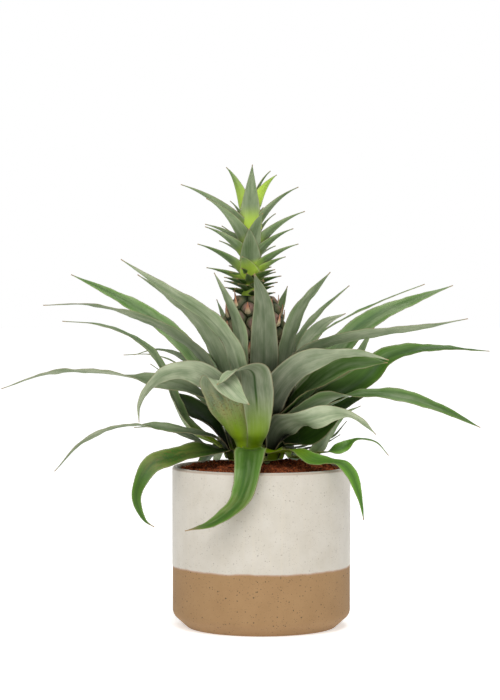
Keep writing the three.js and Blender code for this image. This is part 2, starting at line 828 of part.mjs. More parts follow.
function crown() {
  const blades = CROWN_LEAVES.map(([tip, root, width]) => crownLeaf(root, seen(...tip), width));
  // short spiny leaves round the neck, in a spiral that climbs from the fruit and spreads as it does
  for (let k = 0; k < NECK_LEAVES; k++) {
    const t = k / (NECK_LEAVES - 1);
    const turn = k * GOLDEN_TURN;
    const reach = mix(19, 27, t);
    const root = mix(256, 271, t);
    const lean = new THREE.Vector3(Math.cos(turn) * reach, Math.sin(turn) * reach, 0);
    const tip = crownStem(root + mix(6, 10, t)).add(lean);
    blades.push(crownLeaf(root, tip, 9, 3));
  }
  // longer ones over the back, which keep the spiral going up to the top
  for (let k = 0; k < BACK_CROWN_LEAVES; k++) {
    const t = k / (BACK_CROWN_LEAVES - 1);
    const turn = Math.PI / 2 + 0.62 * Math.sin(k * GOLDEN_TURN * 2);
    const reach = 40 * Math.sin(Math.PI * (0.25 + 0.6 * t));
    const root = mix(272, 316, t);
    const lean = new THREE.Vector3(Math.cos(turn) * reach, Math.sin(turn) * reach, 0);
    const tip = crownStem(root + 28).add(lean);
    blades.push(crownLeaf(root, tip, mix(15, 11, t), 4));
  }
  const below = new THREE.BoxGeometry(200, 200, 40).translate(0, 0, CROWN_BOTTOM - 20);
  const whole = blades.reduce((solid, blade) => solid.add(solidOf(blade)), solidOf(crownCore()));
  return geometryOf(whole.subtract(solidOf(below)));
}

const group = new THREE.Group();

function add(name, geometry, colour, roughness) {
  const material = new THREE.MeshStandardMaterial({ color: colour, roughness, metalness: 0 });
  const mesh = new THREE.Mesh(geometry, material);
  mesh.name = name;
  group.add(mesh);
}

add("pot", pot(), "#d9d5cb", 0.45);
add("soil", soil(), "#4a2c1c", 0.95);
add("stem", stump(), "#8a9a4a", 0.7);
add("fruit", fruit(), "#7d7355", 0.75);
add("crown", crown(), "#6f8f5a", 0.6);
for (const [name, geometry] of rosette()) add(name, geometry, "#5f7f55", 0.6);

export default group;
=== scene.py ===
"""A small ornamental pineapple plant with one fruit in a round glazed pot: the finish round its model.

Metres, +Z up, -Y the front. Lengths below are in millimetres until a piece is made, and the plant's form is
worked out as in its model, on finer grids. Every piece replaces the solid that it is the finish of.
"""

import math

import bpy
import numpy as np
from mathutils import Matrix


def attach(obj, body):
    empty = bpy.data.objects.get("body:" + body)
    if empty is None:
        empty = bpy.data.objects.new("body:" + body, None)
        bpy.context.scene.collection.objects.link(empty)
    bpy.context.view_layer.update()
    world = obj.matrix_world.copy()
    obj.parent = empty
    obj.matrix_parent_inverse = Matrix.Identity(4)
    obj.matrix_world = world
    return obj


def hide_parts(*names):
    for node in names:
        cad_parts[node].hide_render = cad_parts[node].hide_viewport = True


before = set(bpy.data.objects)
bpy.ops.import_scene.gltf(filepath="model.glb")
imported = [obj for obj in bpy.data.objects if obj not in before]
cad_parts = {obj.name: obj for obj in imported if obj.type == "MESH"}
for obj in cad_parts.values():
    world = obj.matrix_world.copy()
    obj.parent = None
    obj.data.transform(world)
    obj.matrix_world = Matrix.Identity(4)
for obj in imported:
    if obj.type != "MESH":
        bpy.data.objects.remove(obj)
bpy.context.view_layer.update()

MM = 0.001

# Pot and soil
POT_RADIUS = 70
POT_HEIGHT = 126
POT_WALL = 4.5
POT_FLOOR = 6
POT_BASE_RADIUS = 58.6
POT_SIDES = 192
FOOT_TOP = 13.9
FOOT_ROUND = 8.4
FOOT_EDGE_ROUND = 2.2
INNER_ROUND = 5
GLAZE_LINE = 48.3
GLAZE_THICKNESS = 0.35
RIM_LINE = POT_HEIGHT - 1.3
SOIL_RADIUS = POT_RADIUS - POT_WALL - 0.3
SOIL_BOTTOM = POT_FLOOR + 0.3
SOIL_EDGE = 122.5
SOIL_MOUND = 5.5
SOIL_RINGS = 60
SOIL_SIDES = 144
CRUMBS = 2600
FIBRES = 260
FIBRE_POINTS = 6
FIBRE_RADIUS = 0.16

# Stump and flower stalk
PLANT_X = -6
ROOT_BOTTOM = 100
ROOT_RADIUS = 13
STUMP_BOTTOM = 131
STUMP_TOP = 157
STUMP_BOTTOM_RADIUS = 20
STALK_RADIUS = 4
STALK_TOP = 206

# Leaves
LEAF_LAYER = 1.35
LEAF_STEP = 0.29
LEAF_SEAT = 1.05
LEAF_LIFT = 0.35
LEAF_RISE = 7
FOOT_HALF_WIDTH = 6
FOOT_HALF_ANGLE = 0.6
TIP_HALF_WIDTH = 0.4
LEAF_ROWS = 110
LEAF_COLUMNS = 15
BACK_LEAF_START = 145
SPINE_GAP = 4.6
SPINE_LENGTH = 0.9

# Fruit
FRUIT_BOTTOM = STALK_TOP + 0.3
FRUIT_TOP = 259.7
FRUIT_RADIUS = 22.4
FRUITLETS = 62
FRUITLET_REACH = 6.8
FRUITLET_RAISE = 2.4
FRUIT_ROWS = 150
FRUIT_SIDES = 260
FRUIT_OVERLAP = 1.4
BRACT_ROWS = 10
BRACT_WIDTH = 7.0
BRACT_ROOT = (-1.5, -5.4)
BRACT_STOPS = ((3.8, 2.4), (4.9, 6.4), (5.3, 10.4))
BRACT_LIGHTS = (1.1, 0.85, 0.55)
BLADE_TIP_HALF_WIDTH = 0.35

# Crown
CROWN_BOTTOM = FRUIT_TOP + 0.3
CROWN_CORE_TOP = 340
CROWN_BOTTOM_X = -8
CROWN_TOP_X = -9.5
CROWN_CLIMB = 0.74
CROWN_ROLL = 48
CROWN_STEM_ROWS = 40
CROWN_STEM_SIDES = 48
NARROW_FOOT_ROOT = 316
NECK_LEAVES = 20
NECK_ROOTS = (256, 271)
NECK_WIDTH = 9
BACK_CROWN_LEAVES = 10
BACK_CROWN_ROOTS = (272, 316)

# Studio, in metres: a soft light has a name, a place, a point that it shines at, a size and its watts
FLOOR_RADIUS = 9.0
FLOOR_SIDES = 64
FLOOR_GLOW = (0.5, 0.85)
FLOOR_GLOW_REACH = (0.15, 2.5)
BACKDROP_TOP = 0.57
CEILING_LIGHT = 0.19
SOFT_LIGHTS = (
    ("key_softbox", (-0.15, -1.3, 1.5), (0, 0, 0.16), 1.5, 30.0),
    ("top_softbox", (0.35, 0.45, 1.7), (0, 0, 0.2), 0.8, 9.0),
)
CAMERA_LENS = 124.35
CAMERA_SENSOR = 36
CAMERA_DIP = 1.997
CAMERA_SIGHT = 30

GOLDEN_TURN = math.pi * (3 - math.sqrt(5))
EYE = np.array([-8.9, -1895, 283])


# Small sums that the shapes share


def smooth(t):
    """A rise from 0 to 1 that starts and ends level: 3t^2 - 2t^3."""
    u = np.clip(t, 0, 1)
    return u * u * (3 - 2 * u)


def mix(a, b, t):
    """From a at t = 0 to b at t = 1."""
    return a + (b - a) * t


def along(knots, t):
    """A value that runs smoothly through knots spread evenly over t from 0 to 1."""
    knots = np.asarray(knots, float)
    place = np.asarray(t) * (len(knots) - 1)
    i = np.minimum(len(knots) - 2, np.floor(place).astype(int))
    return mix(knots[i], knots[i + 1], smooth(place - i))


def unit(v):
    """Vectors of length 1 in the same directions."""
    return v / np.linalg.norm(v, axis=-1, keepdims=True)


def heading(turn):
    """The level direction at a turn from +X."""
    return np.array([math.cos(turn), math.sin(turn), 0])


def seen(points):
    """Points given as they show on the upright plane through the pot's middle, slid along the line of
    sight."""
    points = np.asarray(points, float)
    t = (points[:, 1] - EYE[1]) / -EYE[1]
    flat = points * [1, 0, 1]
    slid = EYE * [1, 0, 1] + (flat - EYE * [1, 0, 1]) * t[:, None]
    return slid + points * [0, 1, 0]


def smooth_path(stops, rows):
    """A curve through the stops (Catmull-Rom, centripetal), as rows + 1 points spread evenly along its
    length, with its direction and the length in millimetres."""
    stops = np.asarray(stops, float)
    ends = np.vstack([2 * stops[0] - stops[1], stops, 2 * stops[-1] - stops[-2]])
    p0, p1, p2, p3 = ends[:-3], ends[1:-2], ends[2:-1], ends[3:]
    d0, d1, d2 = (np.linalg.norm(b - a, axis=1)[:, None] ** 0.5 for a, b in ((p0, p1), (p1, p2), (p2, p3)))
    t1 = ((p1 - p0) / d0 - (p2 - p0) / (d0 + d1) + (p2 - p1) / d1) * d1
    t2 = ((p2 - p1) / d1 - (p3 - p1) / (d1 + d2) + (p3 - p2) / d2) * d1
    u = np.linspace(0, 1, 50, endpoint=False)[None, :, None]
    third = -3 * p1 + 3 * p2 - 2 * t1 - t2
    fourth = 2 * p1 - 2 * p2 + t1 + t2
    spans = p1[:, None] + t1[:, None] * u + third[:, None] * u**2 + fourth[:, None] * u**3
    points = np.vstack([spans.reshape(-1, 3), stops[-1]])
    travelled = np.concatenate([[0], np.cumsum(np.linalg.norm(np.diff(points, axis=0), axis=1))])
    even = np.linspace(0, travelled[-1], rows + 1)
    places = np.stack([np.interp(even, travelled, points[:, k]) for k in range(3)], axis=1)
    return places, unit(np.gradient(places, axis=0)), travelled[-1]


def squared(side, forward):
    """The side directions made square to the directions that a path runs in."""
    return unit(side - forward * np.sum(side * forward, axis=1, keepdims=True))


# Faces and meshes


def strip_faces(rows, around):
    """Four-sided faces between neighbouring rows of points, where each row's last point joins its first."""
    i = np.arange(rows - 1)[:, None] * around
    j = np.arange(around)[None, :]
    k = (j + 1) % around
    return np.stack([i + j, i + k, i + around + k, i + around + j], axis=-1).reshape(-1, 4)


def tube_faces(rows, around):
    """The faces of a tube with a flat many-sided face on each end."""
    ends = [list(range(around))[::-1], list(range((rows - 1) * around, rows * around))]
    return strip_faces(rows, around).tolist() + ends


def blade_faces(rows, columns):
    """The faces of a flat blade, whose rows hold the upper points and then the under ones, closed at both
    ends."""
    around = 2 * columns
    j = np.arange(columns - 1)
    end = np.stack([j, around - 1 - j, around - 2 - j, j + 1], axis=1)
    return np.vstack([strip_faces(rows, around), end, (end + (rows - 1) * around)[:, ::-1]])


def copies(faces, corners, count):
    """The faces of one small shape with so many corners, repeated for all of them."""
    return (np.asarray(faces)[None] + corners * np.arange(count)[:, None, None]).reshape(count * len(faces), -1)


class Mesh:
    """Points, faces and the values painted on them, gathered from several shapes into one piece."""

    def __init__(self):
        self.points, self.faces, self.values, self.count = [], [], {}, 0

    def add(self, points, faces, **values):
        """Add a shape: its faces count from its own first point, and each painted value has a row for each
        point."""
        points = np.asarray(points, float).reshape(-1, 3)
        self.points.append(points)
        if isinstance(faces, np.ndarray):
            faces = faces.tolist()
        self.faces.extend([corner + self.count for corner in face] for face in faces)
        for name, value in values.items():
            value = np.asarray(value, float).reshape(len(points), -1)
            self.values.setdefault(name, []).append(value)
        self.count += len(points)

    def piece(self, name, material, slot, *nodes, crease=55):
        """The object: it rides on the root, replaces its solids and takes the material; the slot is not used.
        """
        mesh = bpy.data.meshes.new(name)
        mesh.from_pydata((np.vstack(self.points) * MM).tolist(), [], self.faces)
        for key, parts in self.values.items():
            value = np.vstack(parts)
            if key == "blade":
                corner = np.empty(len(mesh.loops), np.int32)
                mesh.loops.foreach_get("vertex_index", corner)
                mesh.uv_layers.new(name=key).data.foreach_set("uv", value[corner].ravel())
            else:
                layer = mesh.attributes.new(key, "FLOAT_COLOR", "POINT")
                layer.data.foreach_set("color", value.astype(np.float32).ravel())
        mesh.validate()
        mesh.polygons.foreach_set("use_smooth", np.ones(len(mesh.polygons), bool))
        mesh.set_sharp_from_angle(angle=math.radians(crease))
        mesh.materials.append(material)
        made = bpy.data.objects.new(name, mesh)
        bpy.context.scene.collection.objects.link(made)
        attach(made, "root")
        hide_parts(*nodes)


# Materials. A Mix node of colours takes its share at 0 and the two colours at 6 and 7, and gives the mix at
# 2.


def tone(hex_value):
    """An sRGB hex colour as the linear values that a shader takes."""
    channel = np.array([int(hex_value[i : i + 2], 16) / 255 for i in (1, 3, 5)])
    linear = np.where(channel <= 0.04045, channel / 12.92, ((channel + 0.055) / 1.055) ** 2.4)
    return (*linear.tolist(), 1.0)


def node(tree, kind, inputs=None, out=0, stops=(), **settings):
    """Add a node: its settings, the stops of its ramp as (place, hex or grey), and its inputs, each set to a
    number or a hex colour or joined to another node's output. It gives back one of its own outputs."""
    made = tree.nodes.new("ShaderNode" + kind)
    for key, value in settings.items():
        setattr(made, key, value)
    while stops and len(made.color_ramp.elements) < len(stops):
        made.color_ramp.elements.new(0.5)
    for number, (place, shade) in enumerate(stops):
        element = made.color_ramp.elements[number]
        element.position = place
        element.color = tone(shade) if isinstance(shade, str) else (shade, shade, shade, 1)
    for key, value in (inputs or {}).items():
        if isinstance(value, bpy.types.NodeSocket):
            tree.links.new(value, made.inputs[key])
        else:
            made.inputs[key].default_value = tone(value) if isinstance(value, str) else value
    return made.outputs[out] if made.outputs else made


def new_material(name):
    """An empty material, its tree, and the place in the piece that its patterns follow."""
    material = bpy.data.materials.new(name)
    material.use_nodes = True
    material.node_tree.nodes.clear()
    return material, material.node_tree, node(material.node_tree, "TexCoord", out="Object")


def surfaced(material, inputs):
    """The material ended by its shader with these inputs."""
    shader = node(material.node_tree, "BsdfPrincipled", inputs)
    node(material.node_tree, "OutputMaterial", {"Surface": shader})
    return material


def leaf_material(name, green, deep, sage, pale, base):
    """Living bromeliad leaf: a waxy skin with a grey bloom, fine veins that run along it and a rust-coloured
    margin.

    The painted value "dress" holds the share of bloom, the painted light and shade, the share of the base
    colour, which on a leaf is the yellow base with the painted glow of light shining through it and on a bract
    the orange-rose of its tip, and the share of dry brown, and "rim" the place across the blade from 0 in its
    middle to 1 at its margins, a blotch share and a crease share. The map "blade" holds centimetres across and
    along the blade.
    """
    material, tree, place = new_material(name)
    dress = node(tree, "Attribute", attribute_name="dress")
    rim = node(tree, "Attribute", attribute_name="rim")
    bloom, light, yellow = node(tree, "SeparateColor", {0: dress}).node.outputs
    across, blotch, crease = node(tree, "SeparateColor", {0: rim}).node.outputs
    dry = dress.node.outputs["Alpha"]
    blade = node(tree, "UVMap", uv_map="blade")
    # bands 2 to 6 mm wide that run along the blade, veins about 0.6 mm apart, which is twice the real spacing
    # so that they show, and patches 5 mm wide and 20 mm long
    patterns = []
    for per_cm, detail, rough in (((2.6, 0.11, 1), 2.0, 0.5), ((16, 0.12, 1), 2.0, 0.5),
                                  ((1.6, 0.45, 1), 3.0, 0.55)):
        drawn = node(tree, "Mapping", {"Vector": blade, "Scale": per_cm})
        drawn = node(tree, "TexNoise", {"Vector": drawn, "Scale": 1.0, "Detail": detail, "Roughness": rough})
        patterns.append(drawn)
    bands, veins, clouds = patterns
    # bloom is rubbed and lies thicker in some bands: bloom + 0.6 (clouds - 0.5) + 0.75 (bands - 0.5)
    rubbed = node(tree, "Math", {0: clouds, 1: 0.6, 2: bloom}, operation="MULTIPLY_ADD")
    rubbed = node(tree, "Math", {0: bands, 1: 0.75, 2: rubbed}, operation="MULTIPLY_ADD")
    rubbed = node(tree, "Math", {0: rubbed, 1: 0.675}, operation="SUBTRACT", use_clamp=True)
    # the middle of a green blade is deeper than its margins: 0.6 across^1.6 + 0.8 (bands - 0.25)
    lively = node(tree, "Math", {0: bands, 1: 0.8, 2: -0.2}, operation="MULTIPLY_ADD")
    outward = node(tree, "Math", {0: across, 1: 1.6}, operation="POWER")
    lively = node(tree, "Math", {0: outward, 1: 0.6, 2: lively}, operation="MULTIPLY_ADD", use_clamp=True)
    frosty = node(tree, "ValToRGB", {0: clouds}, stops=((0.3, 0.1), (0.7, 1.0)))
    frost = node(tree, "Mix", {0: frosty, 6: sage, 7: pale}, 2, data_type="RGBA")
    veined = node(tree, "ValToRGB", {0: veins}, stops=((0.45, 0.0), (0.7, 0.3)))
    colour = deep
    # the base colour comes last: on a leaf the yellow base with its painted glow of light shining through, on a
    # bract the orange-rose tip; then the painted light and shade multiply the whole colour
    for share, coat in ((lively, green), (rubbed, frost), (veined, deep), (crease, deep), (yellow, base)):
        colour = node(tree, "Mix", {0: share, 6: colour, 7: coat}, 2, data_type="RGBA")
    colour = node(tree, "Mix", {0: 1.0, 6: colour, 7: light}, 2, data_type="RGBA", blend_type="MULTIPLY")
    # old leaves yellow in clouds, with brown freckles under 1 mm across
    freckles = node(tree, "TexNoise", {"Vector": place, "Scale": 700.0, "Detail": 2.0, "Roughness": 0.6})
    sallow = node(tree, "ValToRGB", {0: clouds}, stops=((0.42, 0.0), (0.62, 0.6)))
    sallow = node(tree, "Math", {0: sallow, 1: blotch}, operation="MULTIPLY")
    spots = node(tree, "ValToRGB", {0: freckles}, stops=((0.55, 0.0), (0.66, 0.7)))
    spots = node(tree, "Math", {0: spots, 1: blotch}, operation="MULTIPLY")
    # the margin is pale, with a rust-coloured rim
    margin = node(tree, "ValToRGB", {0: across}, stops=((0.84, 0.0), (0.93, 0.22)))
    rust = node(tree, "ValToRGB", {0: across}, stops=((0.95, 0.0), (0.99, 0.6)))
    for share, coat in ((sallow, "#8f8a4a"), (spots, "#6a5230"), (margin, "#b9bd9c"), (rust, "#6e5236"),
                        (dry, "#937a58")):
        colour = node(tree, "Mix", {0: share, 6: colour, 7: coat}, 2, data_type="RGBA")
    # bloom and dry tips are matt, and a leaf in the shade mirrors less of the room too
    waxy = node(tree, "Math", {0: rubbed, 1: 0.24, 2: 0.4}, operation="MULTIPLY_ADD")
    rough = node(tree, "Math", {0: dry, 1: 0.3, 2: waxy}, operation="MULTIPLY_ADD", use_clamp=True)
    mirrored = node(tree, "MapRange", {"Value": light, "To Max": 0.3})
    height = node(tree, "Math", {0: bands, 1: 1.4, 2: veins}, operation="MULTIPLY_ADD")
    tilt = node(tree, "Bump", {"Height": height, "Strength": 0.4, "Distance": 0.3 * MM})
    return surfaced(material, {"Base Color": colour, "Roughness": rough, "Specular IOR Level": mirrored,
                               "IOR": 1.45, "Normal": tilt})


def glaze_material():
    """Speckled stoneware, thrown and dipped: a cream satin glaze over raw tan clay, with iron specks through
    both.

    The glaze ends in a soft uneven line and turns thin and brown there and where it breaks over the rim. The
    clay is matt and finely pitted.
    """
    material, tree, place = new_material("speckled_stoneware")
    height = node(tree, "SeparateXYZ", {0: place}, 2)
    # the glaze's line wanders by up to 2.5 mm over a few centimetres, and by up to 0.5 mm in steps of a few
    # millimetres
    over = height
    for scale, swing in ((22.0, 5.0), (260.0, 0.9)):
        wander = node(tree, "TexNoise", {"Vector": place, "Scale": scale, "Detail": 2.0, "Roughness": 0.55})
        over = node(tree, "Math", {0: wander, 1: swing * MM, 2: over}, operation="MULTIPLY_ADD")
        over = node(tree, "Math", {0: over, 1: swing / 2 * MM}, operation="SUBTRACT")
    over = node(tree, "Math", {0: over, 1: GLAZE_LINE * MM}, operation="SUBTRACT")
    glazed = node(tree, "Math", {0: over, 1: 900.0, 2: 0.5}, operation="MULTIPLY_ADD", use_clamp=True)
    # cloudy thickness 10 to 30 mm across, and faint runs down the wall
    cloud = node(tree, "TexNoise", {"Vector": place, "Scale": 60.0, "Detail": 3.0, "Roughness": 0.6})
    down = node(tree, "Mapping", {"Vector": place, "Scale": (420, 420, 26)})
    runs = node(tree, "TexNoise", {"Vector": down, "Scale": 1.0, "Detail": 3.0, "Roughness": 0.6})
    run_share = node(tree, "ValToRGB", {0: runs}, stops=((0.52, 0.0), (0.7, 0.25)))
    cream = node(tree, "ValToRGB", {0: cloud}, stops=((0.3, "#b6afa2"), (0.7, "#bfb9ae")))
    cream = node(tree, "Mix", {0: run_share, 6: cream, 7: "#c4baa8"}, 2, data_type="RGBA")
    grit = node(tree, "TexNoise", {"Vector": place, "Scale": 900.0, "Detail": 2.0, "Roughness": 0.55})
    grit_share = node(tree, "ValToRGB", {0: grit}, stops=((0.3, 0.12), (0.7, 0.0)))
    clay = node(tree, "ValToRGB", {0: cloud}, stops=((0.25, "#90704a"), (0.75, "#997952")))
    clay = node(tree, "Mix", {0: grit_share, 6: clay, 7: "#94714a"}, 2, data_type="RGBA")
    # thin and brown within 1 mm of the glaze's line, and where it breaks over the rim, in a line about 1 mm
    # wide
    colour = node(tree, "Mix", {0: glazed, 6: clay, 7: cream}, 2, data_type="RGBA")
    from_rim = node(tree, "Math", {0: height, 1: RIM_LINE * MM}, operation="SUBTRACT")
    for apart, near, far, share, brown in ((over, 0.3, 1.0, 0.6, "#a4836c"),
                                           (from_rim, 0.273, 0.909, 0.45, "#8e6a52")):
        apart = node(tree, "Math", {0: apart}, operation="ABSOLUTE")
        share = node(tree, "MapRange", {"Value": apart, "From Min": near * MM, "From Max": far * MM,
                                        "To Min": share, "To Max": 0.0})
        colour = node(tree, "Mix", {0: share, 6: colour, 7: brown}, 2, data_type="RGBA")
    # iron specks 0.4 to 1 mm across, about 4 mm apart, and finer ones between, paler where glaze covers them
    veiled = node(tree, "Math", {0: glazed, 1: -0.6, 2: 1.0}, operation="MULTIPLY_ADD")
    for scale, size, dark, share in ((330.0, 0.42, "#4a3a2a", 0.9), (480.0, 0.46, "#54432f", 0.85),
                                     (900.0, 0.66, "#6e573d", 0.75)):
        cells = node(tree, "TexVoronoi", {"Vector": place, "Scale": scale, "Randomness": 1.0}, "Distance")
        chosen = node(tree, "SeparateColor", {0: cells.node.outputs["Color"]})
        radius = node(tree, "Math", {0: chosen, 1: size, 2: -0.5 * size}, operation="MULTIPLY_ADD")
        speck = node(tree, "Math", {0: radius, 1: cells}, operation="GREATER_THAN")
        for thinned in (share, veiled):
            speck = node(tree, "Math", {0: speck, 1: thinned}, operation="MULTIPLY")
        colour = node(tree, "Mix", {0: speck, 6: colour, 7: dark}, 2, data_type="RGBA")
    rough = node(tree, "MapRange", {"Value": glazed, "To Min": 0.82, "To Max": 0.4})
    # pits show on the clay, and hardly through the glaze
    pits = node(tree, "TexNoise", {"Vector": place, "Scale": 1500.0, "Detail": 2.0, "Roughness": 0.55})
    bare = node(tree, "Math", {0: 1.15, 1: glazed}, operation="SUBTRACT")
    relief = node(tree, "Math", {0: pits, 1: bare}, operation="MULTIPLY")
    relief = node(tree, "Math", {0: runs, 1: 0.18, 2: relief}, operation="MULTIPLY_ADD")
    tilt = node(tree, "Bump", {"Height": relief, "Strength": 0.5, "Distance": 0.25 * MM})
    return surfaced(material, {"Base Color": colour, "Roughness": rough, "IOR": 1.5, "Normal": tilt})


def soil_material():
    """Coir and peat: loose fibrous crumbs, matt and red-brown, darker where they are damp."""
    material, tree, place = new_material("coir_and_peat")
    shade = node(tree, "Attribute", attribute_name="shade")
    grain = node(tree, "TexNoise", {"Vector": place, "Scale": 520.0, "Detail": 4.0, "Roughness": 0.7})
    damp = node(tree, "TexNoise", {"Vector": place, "Scale": 60.0, "Detail": 2.0, "Roughness": 0.55})
    damp_share = node(tree, "ValToRGB", {0: damp}, stops=((0.4, 0.0), (0.7, 0.4)))
    colour = node(tree, "ValToRGB", {0: grain}, stops=((0.3, "#341509"), (0.48, "#7c3c20"), (0.68, "#c0703f")))
    colour = node(tree, "Mix", {0: damp_share, 6: colour, 7: "#3a1c11"}, 2, data_type="RGBA")
    colour = node(tree, "Mix", {0: 1.0, 6: colour, 7: shade}, 2, data_type="RGBA", blend_type="MULTIPLY")
    tilt = node(tree, "Bump", {"Height": grain, "Strength": 0.9, "Distance": 1.2 * MM})
    return surfaced(material, {"Base Color": colour, "Roughness": 0.95, "Specular IOR Level": 0.2,
                               "Normal": tilt})


def stalk_material():
    """Green stalk and stump: smooth pale skin with rings where leaves sat."""
    material, tree, place = new_material("green_stalk")
    level = node(tree, "Mapping", {"Vector": place, "Scale": (40, 40, 700)})
    rings = node(tree, "TexNoise", {"Vector": level, "Scale": 1.0, "Detail": 2.0, "Roughness": 0.55})
    colour = node(tree, "ValToRGB", {0: rings}, stops=((0.35, "#7d8f3b"), (0.6, "#a9b45c"), (0.75, "#8a7a45")))
    tilt = node(tree, "Bump", {"Height": rings, "Strength": 0.6, "Distance": 0.6 * MM})
    return surfaced(material, {"Base Color": colour, "Roughness": 0.55, "Normal": tilt})


def fruit_material():
    """Young pineapple rind: leathery fruitlets, tan and rose where they swell and dark olive in the creases.

    The painted value "eye" holds the distance from the fruitlet's middle, a share of its own and the crease,
    where the dark olive is deepened to near black as painted shade.
    """
    material, tree, place = new_material("pineapple_rind")
    eye = node(tree, "Attribute", attribute_name="eye")
    middle, own, crease = node(tree, "SeparateColor", {0: eye}).node.outputs
    grain = node(tree, "TexNoise", {"Vector": place, "Scale": 700.0, "Detail": 3.0, "Roughness": 0.6})
    patches = node(tree, "TexNoise", {"Vector": place, "Scale": 180.0, "Detail": 3.0, "Roughness": 0.6})
    shifted = node(tree, "Math", {0: grain, 1: 0.3, 2: middle}, operation="MULTIPLY_ADD")
    shifted = node(tree, "Math", {0: shifted, 1: 0.15}, operation="SUBTRACT")
    # from the fruitlet's middle to its crease
    places = (0.05, 0.3, 0.6, 0.8, 0.97)
    plain, ripe = (
        node(tree, "ValToRGB", {0: shifted}, stops=tuple(zip(places, shades)))
        for shades in (("#4a3a2a", "#75684e", "#5a5c3a", "#40492a", "#202c16"),
                       ("#6a4636", "#8e6c60", "#6c5c4a", "#4e5232", "#26331a")))
    ripeness = node(tree, "ValToRGB", {0: own}, stops=((0.4, 0.0), (0.7, 1.0)))
    colour = plain
    # the creases are painted near black, dark olive deepened as their shade
    for share, coat in ((ripeness, ripe), (crease, "#1c1e0f")):
        colour = node(tree, "Mix", {0: share, 6: colour, 7: coat}, 2, data_type="RGBA")
    patchy = node(tree, "ValToRGB", {0: patches}, stops=((0.3, 0.6), (0.7, 1.0)))
    colour = node(tree, "Mix", {0: 1.0, 6: colour, 7: patchy}, 2, data_type="RGBA", blend_type="MULTIPLY")
    # the creases are too deep to mirror the room
    mirrored = node(tree, "Math", {0: crease, 1: -0.35, 2: 0.35}, operation="MULTIPLY_ADD")
    tilt = node(tree, "Bump", {"Height": grain, "Strength": 0.7, "Distance": 0.5 * MM})
    return surfaced(material, {"Base Color": colour, "Roughness": 0.6, "Specular IOR Level": mirrored,
                               "Normal": tilt})


# Pot, soil and stalk


def lathe(profile, sides, x=0.0):
    """A closed surface of revolution about an upright axis at x: radius and height run down the profile and
    the turn goes once round. The profile's two ends lie on the axis, where they become one pole each."""
    profile = np.asarray(profile, float)
    turn = np.linspace(0, 2 * np.pi, sides, endpoint=False)
    r, z = profile[1:-1, 0][:, None], profile[1:-1, 1][:, None]
    points = np.stack([x + r * np.cos(turn), r * np.sin(turn), z + 0 * turn], axis=-1).reshape(-1, 3)
    rows = len(profile) - 2
    pole = np.full(sides, len(points))
    ring = np.arange(sides)
    after = (ring + 1) % sides
    last = (rows - 1) * sides
    faces = strip_faces(rows, sides).tolist() + np.stack([ring, pole, after], axis=1).tolist()
    faces += np.stack([last + after, pole + 1, last + ring], axis=1).tolist()
    return np.vstack([points, [[x, 0, profile[0, 1]], [x, 0, profile[-1, 1]]]]), faces


def subdivided(profile, step):
    """A profile with points added along its straight runs, no further apart than a step."""
    out = [profile[0]]
    for a, b in zip(profile[:-1], profile[1:]):
        n = max(1, int(math.ceil(math.dist(a, b) / step)))
        out += [[mix(a[0], b[0], k / n), mix(a[1], b[1], k / n)] for k in range(1, n + 1)]
    return out


def arc(x, z, radius, start, end, steps):
    """Points of a rounded corner about (x, z), between two angles in degrees."""
    angles = np.radians(np.linspace(start, end, steps))
    return np.stack([x + radius * np.cos(angles), z + radius * np.sin(angles)], axis=1).tolist()


def pot():
    """The pot's profile turned round: a flat base, a rounded foot, a straight wall that steps out by the
    glaze's thickness where the glaze starts, a round lip, and the hollow inside."""
    inner = POT_RADIUS - POT_WALL
    lip = POT_WALL / 2
    bare = POT_RADIUS - GLAZE_THICKNESS
    base = POT_BASE_RADIUS - 1.2
    outside = [[0, 0], [base, 0]]
    outside += arc(base, FOOT_EDGE_ROUND, FOOT_EDGE_ROUND, -85, -48, 5)
    outside += arc(bare - FOOT_ROUND, FOOT_TOP, FOOT_ROUND, -42, 0, 8)
    outside += [[bare, GLAZE_LINE - 1.2], [POT_RADIUS - 0.2, GLAZE_LINE - 0.3], [POT_RADIUS, GLAZE_LINE + 0.6]]
    outside += arc(POT_RADIUS - lip, POT_HEIGHT - lip, lip, 0, 180, 13)
    inside = [[inner, 16]] + arc(inner - INNER_ROUND, POT_FLOOR + INNER_ROUND, INNER_ROUND, -10, -85, 6)
    shape = Mesh()
    shape.add(*lathe(subdivided(outside + inside + [[0, POT_FLOOR]], 3.0), POT_SIDES))
    shape.piece("glazed_pot", glaze_material(), "pot_glaze", "pot", crease=80)


def soil_height(x, y):
    """The mound, which falls with the square of the distance from the middle, and on it lumps of fibre and
    peat: three crossing waves, 10 to 30 mm long."""
    long = np.sin(0.23 * x + 1) * np.cos(0.19 * y)
    slanting = np.sin(0.41 * y - 0.3 * x + 2)
    mound = SOIL_MOUND * (1 - (x * x + y * y) / SOIL_RADIUS**2)
    return SOIL_EDGE + mound + (long + 0.7 * slanting + 0.4 * np.cos(0.6 * x))


def soil_bed(shape, rng):
    """A bed turned round the pot's axis, whose top is the soil's height plus small waves and noise."""
    above = 200.0
    profile = [[0, SOIL_BOTTOM], [SOIL_RADIUS - 5.2, SOIL_BOTTOM], [SOIL_RADIUS, POT_FLOOR + 6.4],
               [SOIL_RADIUS, SOIL_EDGE - 1.4]]
    profile += [[r, above] for r in np.linspace(0.985, 0.02, SOIL_RINGS) * SOIL_RADIUS] + [[0, above]]
    points, faces = lathe(profile, SOIL_SIDES)
    top = points[:, 2] == above
    x, y = points[top, 0], points[top, 1]
    grain = rng.normal(0, 0.32, len(x)) + 0.5 * np.sin(1.1 * x + 0.7 * y) * np.sin(0.9 * y - 0.8 * x)
    points[top, 2] = soil_height(x, y) + grain * np.clip((SOIL_RADIUS - np.hypot(x, y)) / 2, 0, 1)
    shape.add(points, faces, shade=np.tile([0.8, 0.8, 0.8, 1], (len(points), 1)))


